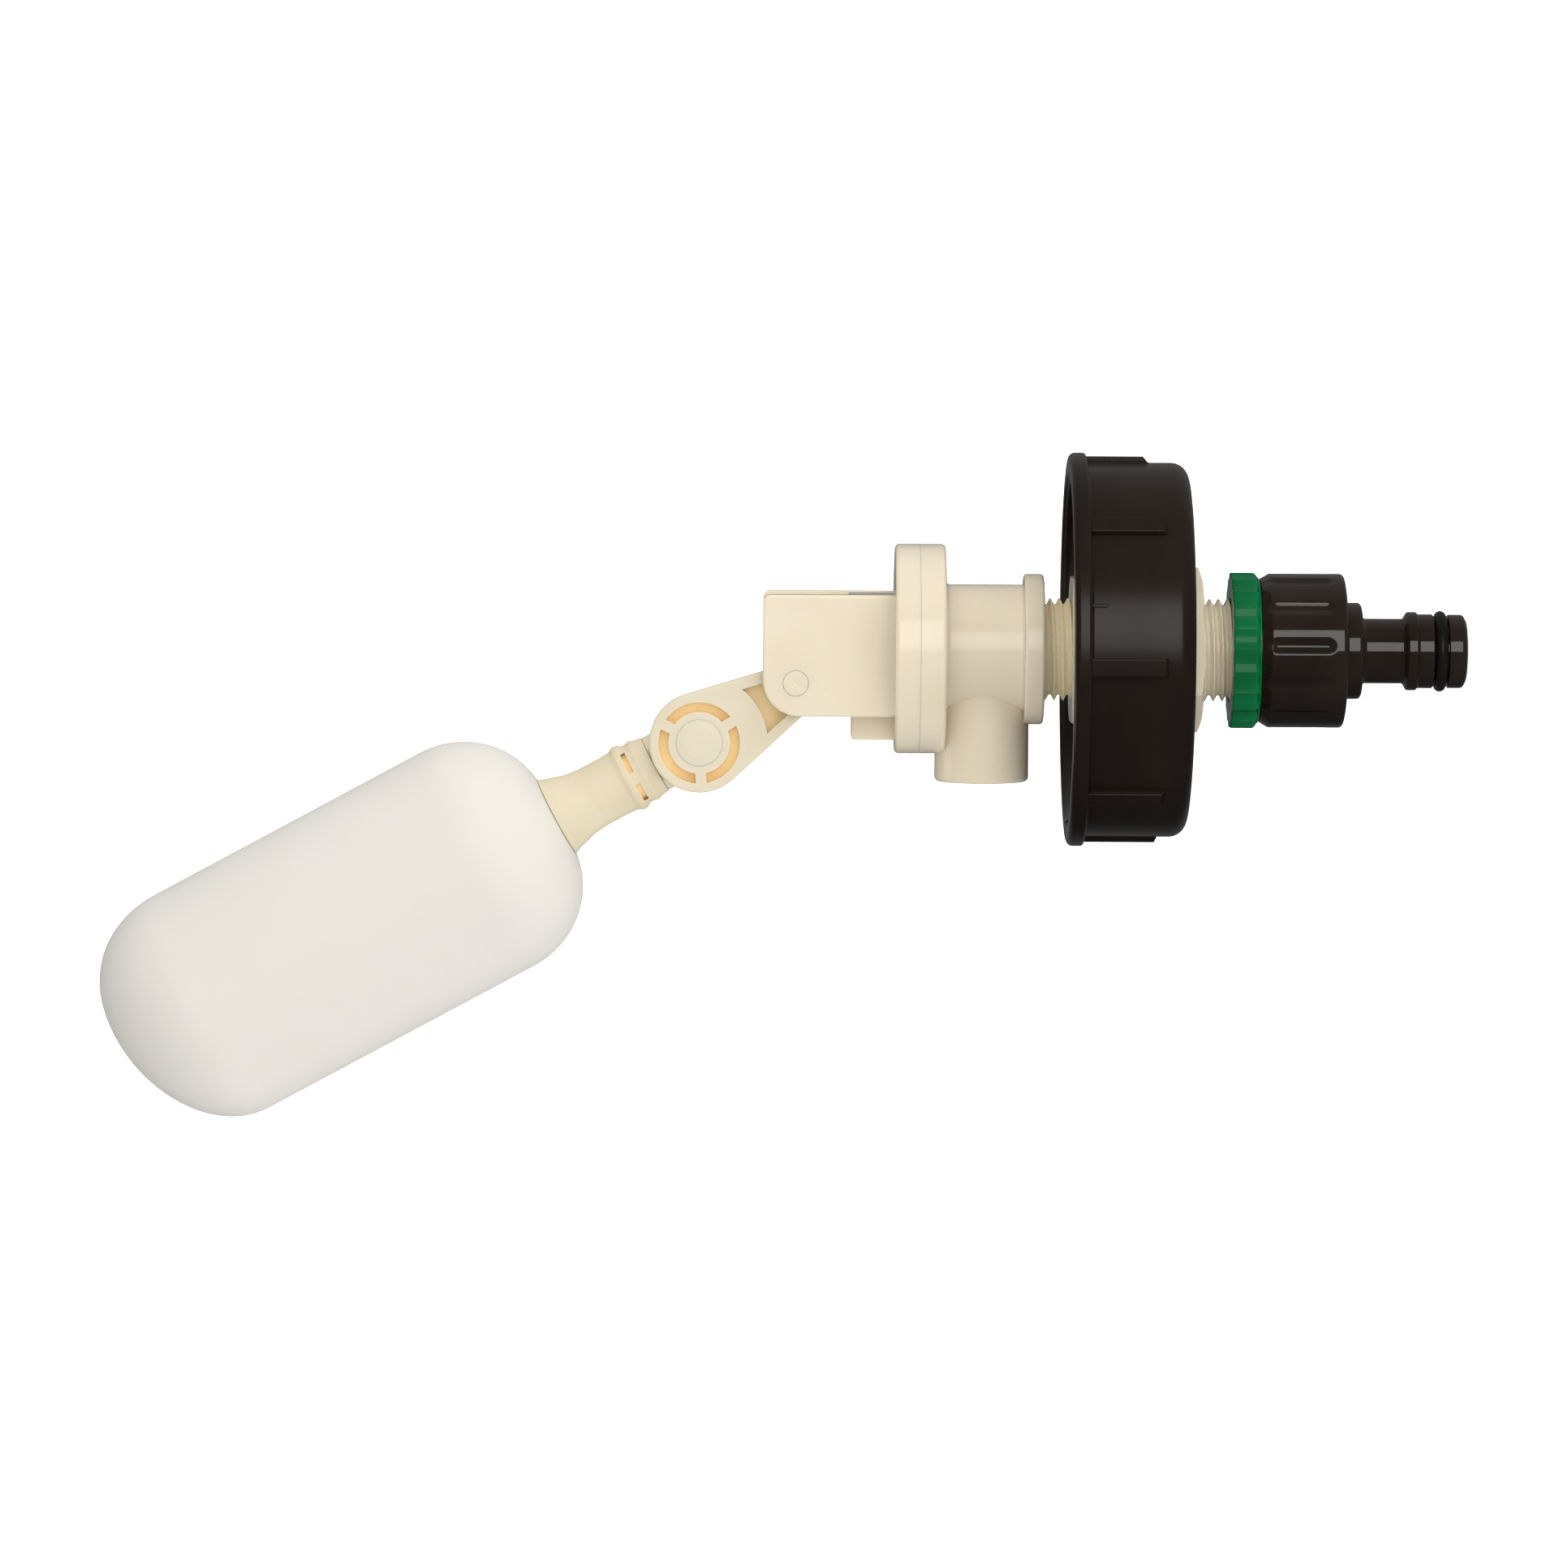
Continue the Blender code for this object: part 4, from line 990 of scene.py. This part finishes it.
def flexInSectors(diaphragm):
    # the diaphragm is cut into sectors round the X axis, each a piece of its own in place of the CAD
    # diaphragm
    size = diaphragmSizes
    step = 360 / size["sectors"]
    for i in range(size["sectors"]):
        sector = sectorOf(diaphragm, i * step, step)
        place(sector, greyRubber, None, "grey_rubber", "diaphragm")
        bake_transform(sector)
    bpy.data.objects.remove(diaphragm)


def makeInside():
    # the diaphragm, its insert and the bleed pin
    size = diaphragmSizes
    bleed = Matrix.Translation((0, 0, -size["bleedDrop"])) @ alongX
    hole, rim = size["hole"], size["rim"]
    profile = [(hole, -29.5, 0), (9.4, -29.5, 0.4), (10.4, -30.9, 0.5), (11.6, -31.4, 0.5),
               (13.2, -30.4, 0.5), (15.3, -29.6, 0.3), (15.3, -28.7, 0), (rim, -28.7, 0.4),
               (rim, -31.9, 0.4), (15.3, -31.9, 0), (14.2, -31.6, 0.3), (12.4, -32.6, 0.5),
               (10.0, -32.6, 0.5), (9.0, -31.2, 0.3), (hole, -31.2, 0)]
    diaphragm = turned("diaphragm", profile, segments=96)
    cutAway(diaphragm, rodPiece("bleedHole", size["bleedHole"], -33, -28, bleed, 24))
    flexInSectors(diaphragm)
    flange, button, shaft = insertSizes["flange"], insertSizes["button"], insertSizes["shaft"]
    profile = [(0, -28.2), (2.2, -28.2, 0.2), (button, -28.5, 0.1), (button, -29.2, 0), (shaft, -29.2, 0),
               (shaft, -31.5, 0), (flange, -31.5, 0.2), (flange, -32.2, 0.2), (6.2, -32.5, 0.1), (0, -32.5)]
    insert = turned("diaphragmInsert", profile, segments=64, closed=False)
    cutAway(insert, rodPiece("insertHole", insertSizes["bleedHole"], -34, -31, bleed, 24))
    place(insert, milkyFloat, "poppet", "insert_plastic", "diaphragm_insert")
    pin = rodPiece("bleedPin", size["bleedPin"], -34.7, -28.8, bleed, 24)
    place(pin, drawnSteel, "valve", "pin_steel", "bleed_pin")


print("diaphragm")
makeInside()


# distances are in metres, aim in millimetres and angles in degrees; a light is its turn, lift, reach,
# size, power and tint, and whether it shows in gloss
setSizes = {
    "floorDrop": 0.10, "distance": 1.40, "lift": 4.0, "width": 0.322, "roll": 0.31, "aim": (-0.1, 0.6),
    "world": {"level": 1.07, "up": -0.1, "right": 0.36, "glossBehind": 0.16, "glossFront": 0.04},
    "lights": [(6, 18.5, 1.5, (0.8, 0.82), 2.7, (1.0, 0.985, 0.955), True),
               (10, 66, 1.4, (1.3, 0.6), 4.6, (1.0, 0.99, 0.97), False)],
    "floorHalf": 4.0, "floorBack": 2.4, "floorBend": 0.5, "wallHeight": 4.0}


def makeFloor():
    # a pale floor that curves up behind the object
    half, back, bend = setSizes["floorHalf"], setSizes["floorBack"], setSizes["floorBend"]
    bottom = cadBox[0][2] - setSizes["floorDrop"]
    profile = [(-half, bottom), (back, bottom)]
    profile += [(back + bend * math.sin(a), bottom + bend * (1 - math.cos(a)))
                for a in (math.radians(90 * i / 16) for i in range(1, 17))]
    profile.append((back + bend, bottom + setSizes["wallHeight"]))
    shape = bmesh.new()
    rows = [[shape.verts.new((x, y, z)) for x in (-half, half)] for y, z in profile]
    for near, far in zip(rows, rows[1:]):
        shape.faces.new((near[0], near[1], far[1], far[0]))
    mesh = bpy.data.meshes.new("paleFloor")
    shape.to_mesh(mesh)
    shape.free()
    floor = bpy.data.objects.new("paleFloor", mesh)
    bpy.context.scene.collection.objects.link(floor)
    for polygon in mesh.polygons:
        polygon.use_smooth = True
    material = bpy.data.materials.new("paleFloorPaint")
    material.use_nodes = True
    shader = material.node_tree.nodes["Principled BSDF"]
    shader.inputs["Base Color"].default_value = (0.93, 0.93, 0.93, 1)
    shader.inputs["Roughness"].default_value = 0.9
    shader.inputs["Emission Color"].default_value = (1, 1, 1, 1)
    shader.inputs["Emission Strength"].default_value = 0.9
    mesh.materials.append(material)
    floor.visible_glossy = False                 # the floor neither lights the object nor shows in it
    floor.visible_diffuse = False


def softLight(name, spot, target, size, power, tint):
    data = bpy.data.lights.new(name, "AREA")
    data.shape = "RECTANGLE"
    data.size, data.size_y = size
    data.energy = power
    data.color = tint
    light = bpy.data.objects.new(name, data)
    light.location = spot
    light.rotation_euler = (Vector(target) - Vector(spot)).to_track_quat("-Z", "Y").to_euler()
    bpy.context.scene.collection.objects.link(light)
    return light


def makeWorld():
    # matt light is a little stronger from the right and from below, gloss sees it dim, and the camera white
    world = bpy.data.worlds.new("studio")
    world.use_nodes = True
    tree = world.node_tree
    background = tree.nodes["Background"]
    direction = tree.nodes.new("ShaderNodeTexCoord")
    parts = tree.nodes.new("ShaderNodeSeparateXYZ")
    tree.links.new(direction.outputs["Generated"], parts.inputs[0])
    x, y, z = parts.outputs
    levels = setSizes["world"]
    upright = maths(tree, "MULTIPLY_ADD", z, levels["up"], levels["level"])
    matt = maths(tree, "MULTIPLY_ADD", x, levels["right"], upright)
    behind = maths(tree, "ADD", y, maths(tree, "MULTIPLY", z, 0.5))
    gloss = maths(tree, "MAXIMUM", maths(tree, "MULTIPLY", behind, levels["glossBehind"]),
                  levels["glossFront"])
    lightPath = tree.nodes.new("ShaderNodeLightPath")

    def choose(share, off, on):
        node = tree.nodes.new("ShaderNodeMix")
        tree.links.new(share, node.inputs["Factor"])
        wire(tree, off, node.inputs["A"])
        wire(tree, on, node.inputs["B"])
        return node.outputs[0]

    level = choose(lightPath.outputs["Is Glossy Ray"], maths(tree, "MAXIMUM", matt, 0.05), gloss)
    level = choose(lightPath.outputs["Is Camera Ray"], level, 1.0)
    tree.links.new(level, background.inputs["Strength"])
    background.inputs["Color"].default_value = (1, 1, 1, 1)
    bpy.context.scene.world = world


def makeLights(middle):
    makeWorld()
    for turn, lift, reach, size, power, tint, glossy in setSizes["lights"]:
        turn, lift = math.radians(turn), math.radians(lift)
        away = Vector((math.sin(turn) * math.cos(lift), -math.cos(turn) * math.cos(lift), math.sin(lift)))
        light = softLight("softPanel", middle + away * reach, middle, size, power, tint)
        light.visible_glossy = glossy


def makeCamera(middle):
    data = bpy.data.cameras.new("camera")
    data.sensor_width = 36.0
    data.lens = data.sensor_width * setSizes["distance"] / setSizes["width"]
    camera = bpy.data.objects.new("camera", data)
    lift = math.radians(setSizes["lift"])
    away = Vector((0, -math.cos(lift), math.sin(lift))) * setSizes["distance"]
    camera.location = middle + away
    aim = (-away).to_track_quat("-Z", "Y").to_matrix().to_4x4()
    roll = Matrix.Rotation(math.radians(setSizes["roll"]), 4, "Z")
    camera.rotation_euler = (aim @ roll).to_euler()
    bpy.context.scene.collection.objects.link(camera)
    bpy.context.scene.camera = camera


print("floor, light and camera")
middle = (Vector(cadBox[0]) + Vector(cadBox[1])) / 2
middle += Vector((setSizes["aim"][0], 0, setSizes["aim"][1])) * mm
middle.y = 0
makeFloor()
makeLights(middle)
makeCamera(middle)
bpy.context.scene.view_settings.view_transform = "Standard"
